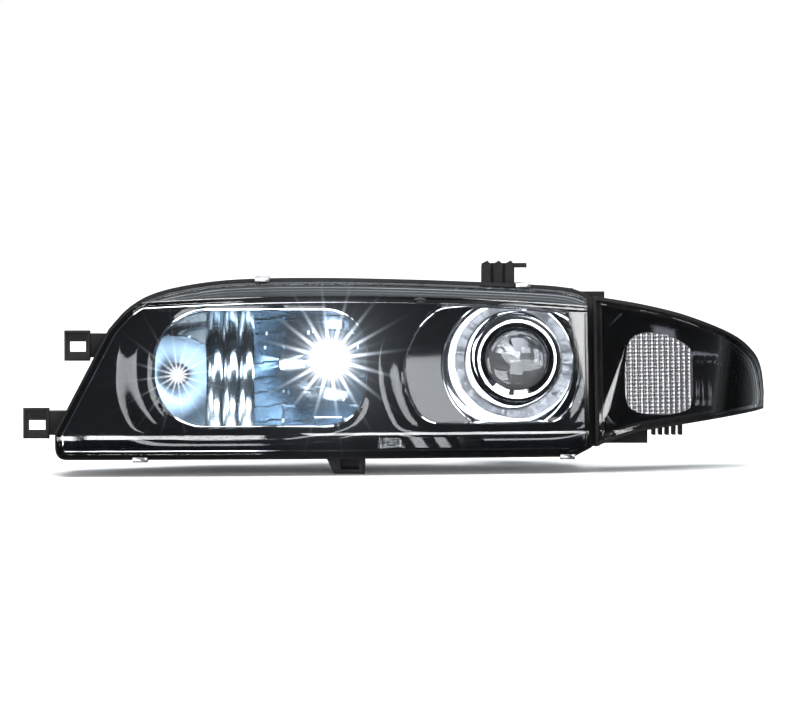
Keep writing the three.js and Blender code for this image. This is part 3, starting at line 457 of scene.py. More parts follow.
def bezel_face(x, z):
    """The bezel rolls back into its two openings, with a lip at the edge of each."""
    funnel, flat_edge, lip_width, lip_depth = 0, 6, 9, 2.2
    above_crease = np.clip((z - 15) / 12, 0, 1)
    inboard = np.clip((-40 - x) / 60, 0, 1)
    for outline, width, depth in ((HIGH_OPENING, 40, 8 * inboard), (PROJECTOR_OPENING, 24, 4)):
        gap = distance_to(outline, x, z)
        roll = np.clip((width - gap) / (width - flat_edge), 0, 1)
        lip = np.clip(1 - gap / lip_width, 0, 1)
        funnel = funnel + depth * roll**2 * (3 - 2 * roll) + lip_depth * lip**2
    return bezel_base(x, z) + funnel * above_crease


def main_rows(x):
    """Close together at the crease and the ledge, and the same number for every x."""
    top = ledge(x)
    return [
        *np.linspace(-8, CREASE - 5, 6), *np.linspace(CREASE - 4, CREASE + 4, 9),
        *np.linspace(CREASE + 8, top - 16, 14), *np.linspace(top - 13, top + 4, 26),
        *np.linspace(top + 7, 166, 4),
    ]


def corner_rows(x):
    return [
        *np.linspace(-2, CREASE - 5, 4), *np.linspace(CREASE - 3, CREASE + 3, 5),
        *np.linspace(CREASE + 8, 148, 14),
    ]


plain_rows = even_rows(-8, 170, 24)
corner_seat = behind(corner_face, CORNER_SEAT)
MAIN_COLUMNS = np.linspace(INNER_END - 6, SEAM + 6, 70)
CORNER_COLUMNS = [
    SEAM - 4, *[SEAM + WRAP_WIDTH * sin(radians(a)) for a in np.linspace(0, 86, 48)], CORNER_END + 3,
]
MAIN_UNIT = (MAIN, MAIN_COLUMNS, main_rows, main_face, main_seat, main_rear)
CORNER_UNIT = (CORNER, CORNER_COLUMNS, corner_rows, corner_face, corner_seat, corner_rear)


# ---- material nodes

def set_span(node, *limits):
    """Sets what a map-range node takes in and gives out."""
    for key, value in zip(("From Min", "From Max", "To Min", "To Max"), limits):
        node.inputs[key].default_value = value


class Paint:
    """A procedural material built on one Principled shader."""

    def __init__(self, color, roughness, metallic=0.0, **settings):
        self.material = bpy.data.materials.new("paint")
        self.material.use_nodes = True
        self.tree = self.material.node_tree
        self.shader = self.tree.nodes["Principled BSDF"]
        self.output = self.tree.nodes["Material Output"]
        self.shader.inputs["Base Color"].default_value = (*color, 1)
        self.shader.inputs["Roughness"].default_value = roughness
        self.shader.inputs["Metallic"].default_value = metallic
        for key, value in settings.items():
            self.shader.inputs[key.replace("_", " ")].default_value = value

    def node(self, kind, **values):
        """A new node with some inputs or settings given by name."""
        node = self.tree.nodes.new(kind)
        for key, value in values.items():
            if key in node.inputs:
                node.inputs[key].default_value = value
            else:
                setattr(node, key, value)
        return node

    def link(self, source, target):
        self.tree.links.new(source, target)

    def noise(self, scale, detail=3.0, stretch=(1, 1, 1)):
        spread = self.node("ShaderNodeMapping", Scale=stretch)
        cloud = self.node("ShaderNodeTexNoise", Scale=scale, Detail=detail)
        self.link(self.node("ShaderNodeTexCoord").outputs["Object"], spread.inputs["Vector"])
        self.link(spread.outputs["Vector"], cloud.inputs["Vector"])
        return cloud.outputs["Fac"]

    def span(self, source, low, high):
        """Spreads the middle of a noise between two values."""
        span = self.node("ShaderNodeMapRange")
        set_span(span, 0.3, 0.7, low, high)
        self.link(source, span.inputs["Value"])
        return span.outputs["Result"]

    def vary_roughness(self, scale, low, high, stretch=(1, 1, 1)):
        varied_ = self.span(self.noise(scale, stretch=stretch), low, high)
        self.link(varied_, self.shader.inputs["Roughness"])
        return self

    def vary_color(self, scale, first, second):
        mix = self.node("ShaderNodeMix", data_type="RGBA")
        mix.inputs[6].default_value = (*first, 1)
        mix.inputs[7].default_value = (*second, 1)
        self.link(self.span(self.noise(scale), 0, 1), mix.inputs[0])
        self.link(mix.outputs[2], self.shader.inputs["Base Color"])
        return self

    def blend(self, first, second, share=0.5):
        """Shows a mix of two shaders and returns the input that holds the second one's share."""
        mix = self.node("ShaderNodeMixShader", Fac=share)
        self.link(first.outputs["BSDF"], mix.inputs[1])
        self.link(second.outputs["BSDF"], mix.inputs[2])
        self.link(mix.outputs["Shader"], self.output.inputs["Surface"])
        return mix.inputs["Fac"]

    def grain(self, scale, strength, distance=0.0002, stretch=(1, 1, 1)):
        bump = self.node("ShaderNodeBump", Strength=strength, Distance=distance)
        self.link(self.noise(scale, 4.0, stretch), bump.inputs["Height"])
        self.link(bump.outputs["Normal"], self.shader.inputs["Normal"])
        return self


def clear_cover(tint, shine=0.03):
    """A thin see-through cover: it passes light straight on and mirrors at its faces."""
    paint = Paint((1, 1, 1), shine)
    paint.tree.nodes.remove(paint.shader)
    through = paint.node("ShaderNodeBsdfTransparent", Color=(*tint, 1))
    mirror = paint.node("ShaderNodeBsdfGlossy", Roughness=shine)
    edge = paint.node("ShaderNodeFresnel", IOR=1.5)
    paint.link(edge.outputs["Fac"], paint.blend(through, mirror))
    return paint.material


def solid_glass():
    """Thick glass that bends what is seen through it and still lets lamplight pass."""
    paint = Paint((1, 1, 1), 0.0, IOR=1.52, Transmission_Weight=1.0)
    through = paint.node("ShaderNodeBsdfTransparent", Color=(1, 1, 1, 1))
    path = paint.node("ShaderNodeLightPath")
    paint.link(path.outputs["Is Shadow Ray"], paint.blend(paint.shader, through))
    return paint.material


def glow(color, strength):
    """A surface that gives off light."""
    paint = Paint(color, 0.4, Emission_Strength=strength)
    paint.shader.inputs["Emission Color"].default_value = (*color, 1)
    return paint.material


def moulded(color, second, roughness=(0.42, 0.6), shine=0.5):
    """Plastic or rubber with a fine grain and two close shades."""
    paint = Paint(color, roughness[0], Specular_IOR_Level=shine)
    paint.vary_color(90, color, second).vary_roughness(60, *roughness)
    return paint.grain(2600, 0.35).material


def varied(color, scale, roughness, grain):
    """One dark shade whose roughness and grain vary over the surface."""
    return Paint(color, roughness[0]).vary_roughness(scale, *roughness).grain(*grain).material


def mirror_coat(color, roughness):
    """A vapour-metallised surface."""
    paint = Paint(color, roughness[0], 1.0)
    return paint.vary_roughness(45, *roughness).grain(120, 0.03, 0.0004).material


def metal(color, roughness, stretch=(1, 1, 1), strength=0.15):
    """Bare metal; a stretch draws its grain out along one axis."""
    paint = Paint(color, roughness[0], 1.0)
    paint.vary_roughness(400, *roughness, stretch=stretch)
    return paint.grain(900, strength, 0.0001, stretch).material


def ribbed_clear():
    """Clear plastic whose moulded ribs scatter part of the light."""
    paint = Paint((0.84, 0.84, 0.85), 0.12, 0.8, IOR=1.49)
    paint.grain(500, 0.1)
    through = paint.node("ShaderNodeBsdfTransparent", Color=(0.95, 0.96, 0.98, 1))
    paint.blend(through, paint.shader, 0.9)
    return paint.material


LAMP_WHITE = (0.86, 0.93, 1.0)
PAINTS = {
    "housing_black": moulded((0.004, 0.004, 0.005), (0.008, 0.008, 0.009), shine=0.15),
    "bracket_grey": moulded((0.005, 0.005, 0.006), (0.009, 0.009, 0.01), shine=0.15),
    "rubber": moulded((0.008, 0.008, 0.008), (0.014, 0.014, 0.014), (0.7, 0.85)),
    "nylon": moulded((0.62, 0.6, 0.52), (0.7, 0.68, 0.6), (0.35, 0.5)),
    "gloss_black": varied((0.004, 0.0045, 0.006), 25, (0.03, 0.07), (220, 0.02, 0.0003)),
    "dark_steel": varied((0.03, 0.03, 0.033), 80, (0.35, 0.5), (700, 0.1)),
    "chrome_trim": mirror_coat((0.8, 0.81, 0.84), (0.04, 0.08)),
    "reflector_chrome": mirror_coat((0.56, 0.67, 0.76), (0.14, 0.2)),
    "dark_chrome": mirror_coat((0.03, 0.031, 0.035), (0.06, 0.14)),
    "zinc": metal((0.3, 0.305, 0.315), (0.25, 0.42), (1, 12, 1)),
    "steel": metal((0.5, 0.51, 0.53), (0.2, 0.35), (1, 8, 1)),
    "cast_aluminium": metal((0.42, 0.43, 0.44), (0.4, 0.6), strength=0.5),
    "clear_lens": clear_cover((0.97, 0.98, 0.99)),
    "smoked_lens": clear_cover((0.85, 0.85, 0.86)),
    "bulb_glass": clear_cover((0.98, 0.98, 1.0), 0.02),
    "lens_glass": solid_glass(),
    "clear_optic": ribbed_clear(),
    "lit_filament": glow(LAMP_WHITE, 4500),
    "lit_small_filament": glow(LAMP_WHITE, 700),
    "floor_white": Paint((0.93, 0.93, 0.93), 0.8).material,
}
for name, material in PAINTS.items():
    material.name = name

SLOT_OF = {row["node"]: row["material_slot"] for row in frame["record"]["subparts"]}
for name, node in frame["nodes"].items():
    node.data.materials.clear()
    node.data.materials.append(PAINTS[SLOT_OF[name]])


def dress(piece, paint, body, finish, angle=35):
    """Gives a piece its look and its body; edges past the angle stay sharp. The finish argument is not
    used.
    """
    piece.data.shade_smooth()
    piece.data.set_sharp_from_angle(angle=radians(angle))
    piece.data.materials.clear()
    piece.data.materials.append(paint)
    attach(piece, body)


def fit(piece, node, angle=35):
    """Gives a piece a CAD node's finish and body, and lets it stand for that node."""
    finish = SLOT_OF[node]
    dress(piece, PAINTS[finish], frame["nodes"][node]["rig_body"], finish, angle)
    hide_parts(node)
    return piece


# ---- lenses and housing shells

def bead(outline, level, radius, name="bead"):
    """A round bead along an outline, at y = level(x, z)."""
    path = [(x, depth_at(level, x, z), z) for x, z in outline]
    return tube_along(path, radius, name)


def lamp_lens(unit, name):
    """A clear pane with a skirt down to its seat and a thin bead round its front."""
    outline, columns, rows, face, seat, _ = unit
    edge = offset(outline, -RIM)
    pane = common(prism(edge, name=name), slab(columns, rows, face, behind(face, LENS_WALL)))
    skirt = common(ring(edge, offset(edge, -WALL)), slab(columns, rows, face, seat))
    return join(pane, skirt, bead(offset(edge, -2.4), behind(face, 0.35), 0.6))


def lamp_housing(unit, name):
    """A hollow shell with a channel for the seal and a shelf under it."""
    outline, columns, _, _, seat, rear = unit
    floor_ = SEAL_THICK + 2 * GAP
    inside = offset(outline, -BODY_INSET - WALL)

    def layer(front, back):
        return slab(columns, plain_rows, front, back)

    body = common(prism(offset(outline, -BODY_INSET), name=name), layer(behind(seat, floor_), rear))
    hollow = common(prism(inside), layer(lambda x, z: 0 * x + FRONT, behind(rear, -WALL)))
    channel = ring(outline, offset(outline, GAP - RIM))
    channel = common(channel, layer(behind(seat, -4), behind(seat, floor_ + 1)))
    shelf = common(ring(outline, inside), layer(behind(seat, floor_), behind(seat, floor_ + WALL)))
    return join(cut(body, hollow), channel, shelf)


fit(lamp_lens(MAIN_UNIT, "main_cover"), "main_lens", angle=28)
fit(lamp_lens(CORNER_UNIT, "corner_cover"), "corner_lens", angle=28)


# ---- bezel and bright trim

TRIM_WINDOW = (-19, 74, 9.6, 18.6)


def bezel_outline():
    edge = offset(MAIN, -RIM - WALL - 1)
    return np.array([(x, min(z, ledge(x) - 5)) for x, z in edge])


def bezel_mask():
    columns = np.linspace(INNER_END - 2, SEAM + 2, 170)
    plate = slab(columns, even_rows(0, 150, 64), bezel_face, behind(bezel_face, WALL))
    x0, x1, z0, z1 = TRIM_WINDOW
    mask = common(prism(bezel_outline(), name="gloss_bezel"), plate)
    window = box(x0, x1, FRONT, BACK, z0, z1)
    return cut(mask, prism(HIGH_OPENING), prism(PROJECTOR_OPENING), window)


def bezel_edge_line():
    """A bright bead just inside the bezel's edge."""
    level = behind(bezel_base, 0.1)
    line = bead(refine(offset(bezel_outline(), -0.9)), level, 0.5, "bezel_edge_line")
    cut(line, box(150, 190, FRONT, BACK, -10, 170))
    dress(line, PAINTS["chrome_trim"], frame["nodes"]["bezel_mask"]["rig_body"], "chrome_trim")


bezel_edge_line()


def window_insert():
    """A strip behind the bezel's window: a pebbled bright end, then slanted dark facets."""
    x0, x1, z0, z1 = TRIM_WINDOW
    pebbled_end, overlap, facet_width, thickness = 1.0, 2, 21, 4.6
    level = WALL + GAP

    def face(x, z):
        pebbles = 0.35 * (np.sin(2.9 * x + 1.3 * np.sin(2.1 * z)) * np.sin(3.1 * z + x))
        slant = (x + 0.7 * z) / facet_width
        facet = 2.2 * np.abs(slant - np.floor(slant) - 0.5)
        lift = 0.4 + 0.15 * (z - z0)
        return bezel_base(x, z) + level + lift + np.where(x < pebbled_end, pebbles, facet)

    columns = np.linspace(x0 - overlap, x1 + overlap, 300)
    rows = even_rows(z0 - overlap, z1 + overlap, 48)
    strip = slab(columns, rows, face, behind(bezel_base, level + thickness), "trim_strip")
    fit(strip, "bezel_window_insert", angle=25)
    strip.data.materials.append(PAINTS["gloss_black"])
    edge = (pebbled_end + ORIGIN[0]) * MM
    for polygon in strip.data.polygons:
        polygon.material_index = int(polygon.center.x > edge)


window_insert()


# The bright edges of both openings stand a little proud of the bezel.
PROUD = -0.6


def trim_ring():
    """The bright rim of the high beam's opening, with a rounded front edge."""
    thickness, depth = 1.6, 11
    edge = offset(HIGH_OPENING, -GAP)
    level = behind(bezel_face, PROUD)
    layer = slab(MAIN_COLUMNS, plain_rows, level, behind(bezel_base, depth))
    wall = common(ring(edge, offset(edge, -thickness), name="high_beam_bright_ring"), layer)
    return join(wall, bead(offset(edge, -thickness / 2), level, 1.0))


fit(bezel_mask(), "bezel_mask", angle=40)
fit(trim_ring(), "high_beam_trim_ring")


def shroud_floor(x, z):
    """The black floor round the projector: deep at its foot and curving forwards above."""
    height = z - 29
    return bezel_base(x, z) + 34 - 0.325 * height + 0.00068 * height**2


def around(centre, radius, turn):
    """A place in X and Z at a radius and an angle from a centre."""
    return centre[0] + radius * cos(turn), centre[1] + radius * sin(turn)


def circle(centre, radius, level, count=96):
    """Points round an axis along Y, at a depth or on a surface."""
    points = []
    for k in range(count):
        x, z = around(centre, radius, 2 * pi * k / count)
        y = depth_at(level, x, z) if callable(level) else level
        points.append((x, y, z))
    return points


def between(first, second, share):
    return [tuple(a + (b - a) * share for a, b in zip(p, q)) for p, q in zip(first, second)]


def black_surround(edge, level, mouth, radius):
    """The shroud's black outer wall and its floor, with a round hole for the bowl."""
    wall_thick, floor_thick = 1.8, 2
    wall = common(
        ring(edge, offset(edge, -wall_thick), name="projector_black_surround"),
        slab(MAIN_COLUMNS, plain_rows, level, behind(shroud_floor, floor_thick)),
    )
    dense = np.linspace(0, 166, 90)
    sheet = slab(dense, even_rows(24, 136, 60), shroud_floor, behind(shroud_floor, floor_thick))
    floor_ = cut(common(prism(edge), sheet), rod(radius, 0, BACK, mouth, 96))
    body = frame["nodes"]["projector_shroud"]["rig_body"]
    dress(join(wall, floor_), PAINTS["gloss_black"], body, "gloss_black")


def projector_shroud():
    """A bright bowl from the floor's round mouth back to the lens, inside a black surround."""
    mouth, mouth_radius = (96.0, 80.0), 59
    waist_radius, waist_depth, thickness, steps = 38, 128, 2.2, 12
    edge = offset(PROJECTOR_OPENING, -GAP)
    level = behind(bezel_face, PROUD)
    black_surround(edge, level, mouth, mouth_radius)
    lip = circle(mouth, mouth_radius - 0.2, shroud_floor)
    waist = circle(PROJECTOR, waist_radius, waist_depth)
    inner = []
    for k in range(steps + 1):
        deep = sin(k / steps * pi / 2)
        loop = between(lip, waist, k / steps)
        inner.append(
            [(x, y + (waist_depth - y) * deep, z) for (x, _, z), (_, y, _) in zip(loop, lip)]
        )
    outer = [[(x, y + thickness, z) for x, y, z in loop] for loop in reversed(inner)]
    bowl = common(loft([*inner, *outer], name="projector_bright_shroud"), prism(edge))
    circle_ = circle(mouth, mouth_radius - 0.1, behind(shroud_floor, -0.3))
    rim = common(tube_along(circle_, 0.9), prism(offset(edge, -1)))
    return join(bowl, rim, bead(offset(edge, -0.9), level, 1.0))


fit(projector_shroud(), "projector_shroud")


# ---- high beam

FACET_EDGE = -130.0
FACETS = [(-172.0, -158.0), (-158.0, -144.5), (-144.5, FACET_EDGE)]


def dish(x, z):
    """A paraboloid about the bulb, carried on with a slight slope inboard of its edge."""
    inner = np.maximum(x, FACET_EDGE)
    away = (inner - HIGH_BEAM[0]) ** 2 + (z - HIGH_BEAM[1]) ** 2
    return APEX - away / FOCUS_X4 - 0.12 * (inner - x)


def main_cavity(x, z):
    """The dish cut into shallow bands that are stepped against each other."""
    band, width, rise, crown = 13.0, 26.0, 1.3, 0.7
    column = np.floor((x - FACET_EDGE) / width)
    within = (x - FACET_EDGE) / width - column - 0.5
    phase = (z - HIGH_BEAM[1] + 0.0009 * (x - HIGH_BEAM[0]) ** 2 + 2.5 * (column % 2)) / band
    step = rise * (phase - np.floor(phase)) * np.sign(phase)
    return dish(x, z) - step - crown * within**2


def reflector_face(x, z):
    """The banded dish, three upright facets and a small bowl for the position lamp."""
    bowl_depth, bowl_focus_x4, rim_depth = 117, 40, 30
    away = (x - POSITION_LAMP[0]) ** 2 + (z - POSITION_LAMP[1]) ** 2
    face = np.maximum(bowl_depth - away / bowl_focus_x4, bezel_base(x, z) + rim_depth)
    first_step, step, crown = 9, 3, 0.035
    for number, (x0, x1) in enumerate(FACETS):
        middle = (x0 + x1) / 2
        strip = dish(x, z) - first_step + step * number - crown * (x - middle) ** 2
        face = np.where((x > x0) & (x <= x1), strip, face)
    return np.where(x > FACET_EDGE, main_cavity(x, z), face)


def reflector_back(x, z):
    return np.maximum(dish(x, z), reflector_face(x, z)) + WALL


def high_beam_reflector():
    """A bright shell with a wall round its edge, a hub and a seat for the two bulbs."""
    edges = [FACETS[0][0], *[x1 for _, x1 in FACETS]]
    steps = [edge + side for edge in edges for side in (0, 0.4)]
    columns = sorted([
        *np.linspace(-226, -173, 34), *steps, *np.linspace(-171, -131, 24),
        *np.linspace(-129, -18, 76),
    ])
    rows = even_rows(18, 140, 84)
    mouth = offset(HIGH_OPENING, 1.6)
    edge = offset(mouth, 2.2)
    shell = slab(columns, rows, reflector_face, reflector_back)
    bowl = common(prism(edge, name="high_beam_mirror"), shell)
    wall = common(ring(edge, mouth), slab(columns, rows, behind(bezel_base, 23), reflector_back))
    hub = rod(21, APEX + 1, 163.7, HIGH_BEAM)
    seat = rod(13, 117, 123, POSITION_LAMP)
    join(bowl, wall, hub, seat)
    return cut(bowl, rod(9, 120, 200, HIGH_BEAM), rod(8.5, 90, 200, POSITION_LAMP))


fit(high_beam_reflector(), "high_beam_reflector", angle=14)


def bulb_profile(radius, tip, seat):
    """Half the outline of a round-nosed glass capsule."""
    turns = [radians(a) for a in np.linspace(0, 90, 10)]
    return [(radius * sin(t), tip + radius * (1 - cos(t))) for t in turns] + [(radius, seat), (0, seat)]


def bulb(node, centre, radius, tip, seat, lit="", coil_radius=1.2):
    """A glass capsule with its filament on two wires; a lit filament stays out of mirrors."""
    body = frame["nodes"][node]["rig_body"]
    fit(turned(bulb_profile(radius, tip, seat), centre, 40, name=node + "_envelope"), node)
    x, z = centre
    coil = rod(coil_radius, tip + 5, tip + 12, centre, 16, name=node + "_filament")
    coil.visible_glossy = coil.visible_diffuse = not lit
    wire, apart, wire_start = 0.35, 0.7, tip + 11.8
    wires = join(
        rod(wire, wire_start, seat - 1, (x - apart, z), 8, name=node + "_wires"),
        rod(wire, wire_start, seat - 1, (x + apart, z), 8),
        rod(radius - 1.5, seat - 6, seat - 0.5, centre, 24),
    )
    dress(coil, PAINTS[lit or "steel"], body, "steel")
    dress(wires, PAINTS["steel"], body, "steel")


bulb("high_beam_bulb", HIGH_BEAM, 5.5, 124, 161, "lit_filament", 1.4)
bulb("position_bulb", POSITION_LAMP, 4.6, 94, 111.7, "lit_small_filament", 0.9)
bulb("low_beam_bulb", PROJECTOR, 5.5, 186, 216.3)
TURN_REAR = corner_rear(TURN[0], 0)
bulb("turn_bulb", TURN, 9.0, TURN_REAR - 58, TURN_REAR - 26)


def glare_shield():
    """A sleeve round the bulb's tip, held by a flat plate on its inner side."""
    front, thickness, tilt = 112, 1.6, 0.08
    back, middle = front + thickness, 81
    bore, outside, tip, end = 8.4, 9.4, 108, 122
    profile = [(bore, tip), (outside, tip), (outside, end), (bore, end)]
    sleeve = turned(profile, HIGH_BEAM, 64, "glare_sleeve")
    outline = tidy([
        *corner((-107.5, 81), (-107.5, 73.5), (-100, 73.5)), (-85, 73.5), (-85, 89),
        *corner((-100, 89), (-107.5, 89), (-107.5, 81)),
    ])

    def tilted(x, z):
        return front + tilt * (z - middle)

    sheet = slab([-110, -83], even_rows(70, 92, 2), tilted, behind(tilted, thickness))
    plate = common(prism(outline), sheet)
    strap = box(-86, -70, front, back, 80, 86)
    heel_end = depth_at(dish, -104.5, middle) - 4
    heel = box(-106.5, -104.5, front, heel_end, middle - 3, middle + 3)
    return bevel(join(sleeve, plate, strap, heel), 0.25)


fit(glare_shield(), "high_beam_glare_shield")


# ---- projector

def projector_lens():
    """A thick lens with a bulging front and a flat back."""
    bulge, shoulder = 15, 124
    turns = np.linspace(0, pi / 2, 22)
    front = [(LENS_RADIUS * sin(t), shoulder - bulge * cos(t)) for t in turns]
    profile = [*front, (LENS_RADIUS, GLASS_BACK), (0, GLASS_BACK)]
    return turned(profile, PROJECTOR, 96, "projector_glass")


def lens_retainer():
    """The bright ring that clamps the lens by its edge."""
    profile = [
        (32.6, 107.6), (33.2, 107), (34.9, 107), (35.5, 107.6), (35.5, 122.7), (30.4, 122.7),
        (30.4, 118.5), (28.5, 117), (28.5, 115.5), (32.6, 113),
    ]
    return turned(profile, PROJECTOR, 96, "projector_glass_ring")


fit(projector_lens(), "projector_lens", angle=60)
fit(lens_retainer(), "projector_lens_retainer")


# ---- corner lamp

def fluted_optic():
    """Upright flutes crossed by rows of low pillows."""
    start, pitch, depth, flutes = 198, 4.9, 1.2, 13
    row_height, pillow_depth, front, back = 3.4, 0.5, 9.6, 11.5
    columns = np.linspace(start, start + flutes * pitch, flutes * 8 + 1)

    def face(x, z):
        flute = depth * np.abs(np.sin(pi * (x - start) / pitch))
        pillow = pillow_depth * np.abs(np.sin(pi * z / row_height))
        return corner_face(x, z) + front - flute - pillow

    outline = tidy(spline([
        (200, 54), (206, 41), (226, 36.5), (250, 38), (260.5, 48), (261.5, 88), (250, 101),
        (230, 108), (212, 107), (202, 95),
    ], 6, closed=True))
    block = slab(columns, even_rows(30, 112, 200), face, behind(corner_face, back))
    return common(prism(outline, name="corner_fluted_optic"), block)


def corner_mirror():
    """A dark dish round the turn bulb, with a patch of upright ribs at its outer side."""
    clearance, outer_end, thickness, bore = 2.8, 299, 2.2, 12.8
    edge = offset(CORNER, -BODY_INSET - WALL - clearance)
    trimmed = np.array([(min(x, outer_end), z) for x, z in edge])
    rim_depth, bowl_depth, bowl_radius = 15, 24, 62
    rib_start, rib_foot, rib_head, rib_pitch, rib_height = 264, 45, 84, 5.6, 0.8

    def surface(x, z):
        reach = np.minimum(1, np.hypot(x - TURN[0], z - TURN[1]) / bowl_radius)
        patch = (x > rib_start) & (z > rib_foot) & (z < rib_head)
        ribs = np.where(patch, rib_height * np.abs(np.sin(pi * x / rib_pitch)), 0)
        return corner_face(x, z) + rim_depth + bowl_depth * (1 - reach**2) - ribs

    columns = np.linspace(178, outer_end + 1, 120)
    plate = slab(columns, even_rows(20, 136, 50), surface, behind(surface, thickness))
    return cut(common(prism(trimmed, name="corner_mirror"), plate), rod(bore, 60, 260, TURN, 40))


fit(fluted_optic(), "corner_inner_optic", angle=50)
fit(corner_mirror(), "corner_reflector", angle=30)


# ---- housings

def upright_rod(radius, x, y, z0, z1, segments=32):
    """A rod that stands along Z."""
    turns = [2 * pi * k / segments for k in range(segments)]
    vertices = [(x + radius * cos(t), y + radius * sin(t), z) for z in (z0, z1) for t in turns]
    faces = grid_faces(2, segments, False)
    faces += [tuple(range(segments - 1, -1, -1)), tuple(range(segments, 2 * segments))]
    return make("upright", vertices, faces)


def seam_strip():
    """Closes the housing's side between the two lamps."""
    floor_ = SEAL_THICK + 2 * GAP
    columns, rows = [SEAM - 2, CORNER_START + BODY_INSET - GAP], even_rows(8.5, 140, 2)
    return slab(columns, rows, behind(main_seat, floor_), behind(main_seat, floor_ + WALL))


def rear_ribs(outline, rear, places, height):
    """Upright stiffening ribs on a rear wall, inside the housing's outline."""
    ribs = []
    for x in places:
        plate = box(x - 1.1, x + 1.1, 60, 260, -10, 175)
        layer = slab(np.linspace(x - 3, x + 3, 3), plain_rows, behind(rear, -1), behind(rear, height))
        ribs.append(common(common(plate, prism(offset(outline, -BODY_INSET))), layer))
    return ribs


def main_housing():
    """The main shell with two collars, three bushes, a vent stub and screw holes."""
    wall_inside, before_wall = REAR - WALL - 1, 150
    bush, bush_bore, vent_bore, grommet_bore = 9, 3.5, 4, 8
    shell = lamp_housing(MAIN_UNIT, "main_housing_shell")
    join(shell, seam_strip(), *rear_ribs(MAIN, main_rear, (-215, -190, -122, -2, 42, 162), 4))
    for centre in (HIGH_BEAM, PROJECTOR):
        join(shell, rod(COLLAR_OUTER, wall_inside, COLLAR_END, centre, 96))
        cut(shell, rod(COLLAR_INNER, before_wall, BACK, centre, 96))
    for centre in (PIVOT, LOWER_NUT, INNER_NUT):
        join(shell, rod(bush, wall_inside - 2, BUSH_END, centre))
        cut(shell, rod(bush_bore, before_wall, BACK, centre))
    join(shell, rod(bush, wall_inside, REAR + 7, VENT))
    cut(shell, rod(vent_bore, before_wall, BACK, VENT), rod(grommet_bore, before_wall, BACK, GROMMET))
    return cut(shell, upright_rod(2.8, *LAMP_SCREW, 120, 160), upright_rod(2.6, *FOOT_SCREW, 130, 160))


def corner_housing():
    """The corner shell with the bulb's collar, the wing pad, the screw lug, foot and ribs."""
    shell = lamp_housing(CORNER_UNIT, "corner_housing_shell")
    collar = rod(17, TURN_REAR - 12, TURN_REAR + TURN_COLLAR, TURN, 64)
    pad_rear = corner_rear(WING_PAD[0], 0)
    pad = rod(9, pad_rear - 10, pad_rear + 12, WING_PAD)
    lug = box(140, 184, 151, 165, 130, 144.5)
    cut(lug, prism(offset(MAIN, GAP - BODY_INSET)), upright_rod(2.9, *LAMP_SCREW, 120, 160))
    join(shell, collar, pad, lug, *rear_ribs(CORNER, corner_rear, (196, 262, 282), 3))
    lower = [box(180, 222, 132, 150, 9, 32)]
    lower += [box(x - 1.6, x + 1.6, 136, 160, 16, 36) for x in (228, 234, 240, 246, 252)]
    for piece in lower:
        join(shell, cut(piece, prism(offset(CORNER, GAP - BODY_INSET - WALL))))
    return cut(shell, rod(TURN_BORE, 120, BACK, TURN, 64))


fit(main_housing(), "main_housing", angle=30)
fit(corner_housing(), "corner_housing", angle=30)


# ---- rear covers and knobs

def rear_cap(node, centre, depth):
    """A twist-off cover: a cup with three lugs, a fluted rim and a grip across its end."""
    bore, lug_radius, rim_radius, flutes = 46.2, 48, 49.9, 40
    end = COLLAR_END + depth
    profile = [
        (bore, 199), (48.6, 199), (49, 199.6), (49, COLLAR_END + 2.4), (48.5, COLLAR_END + 3.4),
        (43.6, end - 1), (42.6, end), (30, end), (29, end - 0.8), (27, end - 0.8), (26, end),
        (0, end), (0, end - 2.6), (41.4, end - 2.6), (bore, COLLAR_END + 4),
    ]
    cup = turned(profile, centre, 120, node + "_moulding")
    x, z = centre
    join(cup, bevel(box(x - 34, x + 34, end - 1, end + 7, z - 3.5, z + 3.5), 1.2, 3))
    lugs = [radians(turn) for turn in (0, 120, 240, 360)]
    for turn in lugs[:3]:
        join(cup, rod(3.5, 201, 209, around(centre, lug_radius, turn), 24))
    for k in range(flutes):
        turn = 2 * pi * k / flutes
        if min(abs(turn - lug) for lug in lugs) > 0.13:
            cut(cup, rod(1.5, 202.5, COLLAR_END + 1, around(centre, rim_radius, turn), 12))
    cut(cup, rod(bore, 190, 212, centre, 120))
    return fit(cup, node)


def cap_seal(node, centre):
    """A rubber band on the collar's end."""
    start = COLLAR_END + GAP
    profile = [
        (42.2, start), (45.2, start), (45.2, start + 2), (44.2, start + 2.2), (43.2, start + 2.2),
        (42.2, start + 2),
    ]
    return fit(turned(profile, centre, 96, node + "_band"), node)


def adjuster_knob(node, centre):
    """A toothed wheel with a hub, bored for the screw."""
    start, end, teeth, radius = BUSH_END + GAP, BUSH_END + 12, 24, 12.6
    turns = [2 * pi * k / (8 * teeth) for k in range(8 * teeth)]
    rim = [
        around(centre, radius + 0.95 * np.tanh(2.2 * sin(teeth / 2 * turn)), turn) for turn in turns
    ]
    wheel = bevel(prism(np.array(rim), start + 2, end - 2, node + "_wheel"), 0.5)
    join(wheel, bevel(rod(8, start, end, centre, 64), 0.6))
    return fit(cut(wheel, rod(3.3, start - 1, end + 1, centre)), node)


def adjuster_screw(node, centre):
    """A threaded rod with a screwdriver slot in its end."""
    radius, pitch, start, last, end = 3.0, 1.5, 160, BUSH_END - 1, BUSH_END + 15
    root = radius - 0.55
    thread = [(0, start), (2.4, start)]
    y = start + 1
    while y < last:
        thread += [(radius, y), (radius, y + pitch / 4), (root, y + pitch / 2), (root, y + pitch * 0.7)]
        y += pitch
    thread += [(radius, last + pitch), (radius, end - 0.5), (2.6, end), (0, end)]
    shaft = turned(thread, centre, 40, node + "_thread")
    x, z = centre
    slot = box(x - 4, x + 4, end - 1.5, end + 1, z - 0.6, z + 0.6)
    return fit(cut(shaft, slot), node)


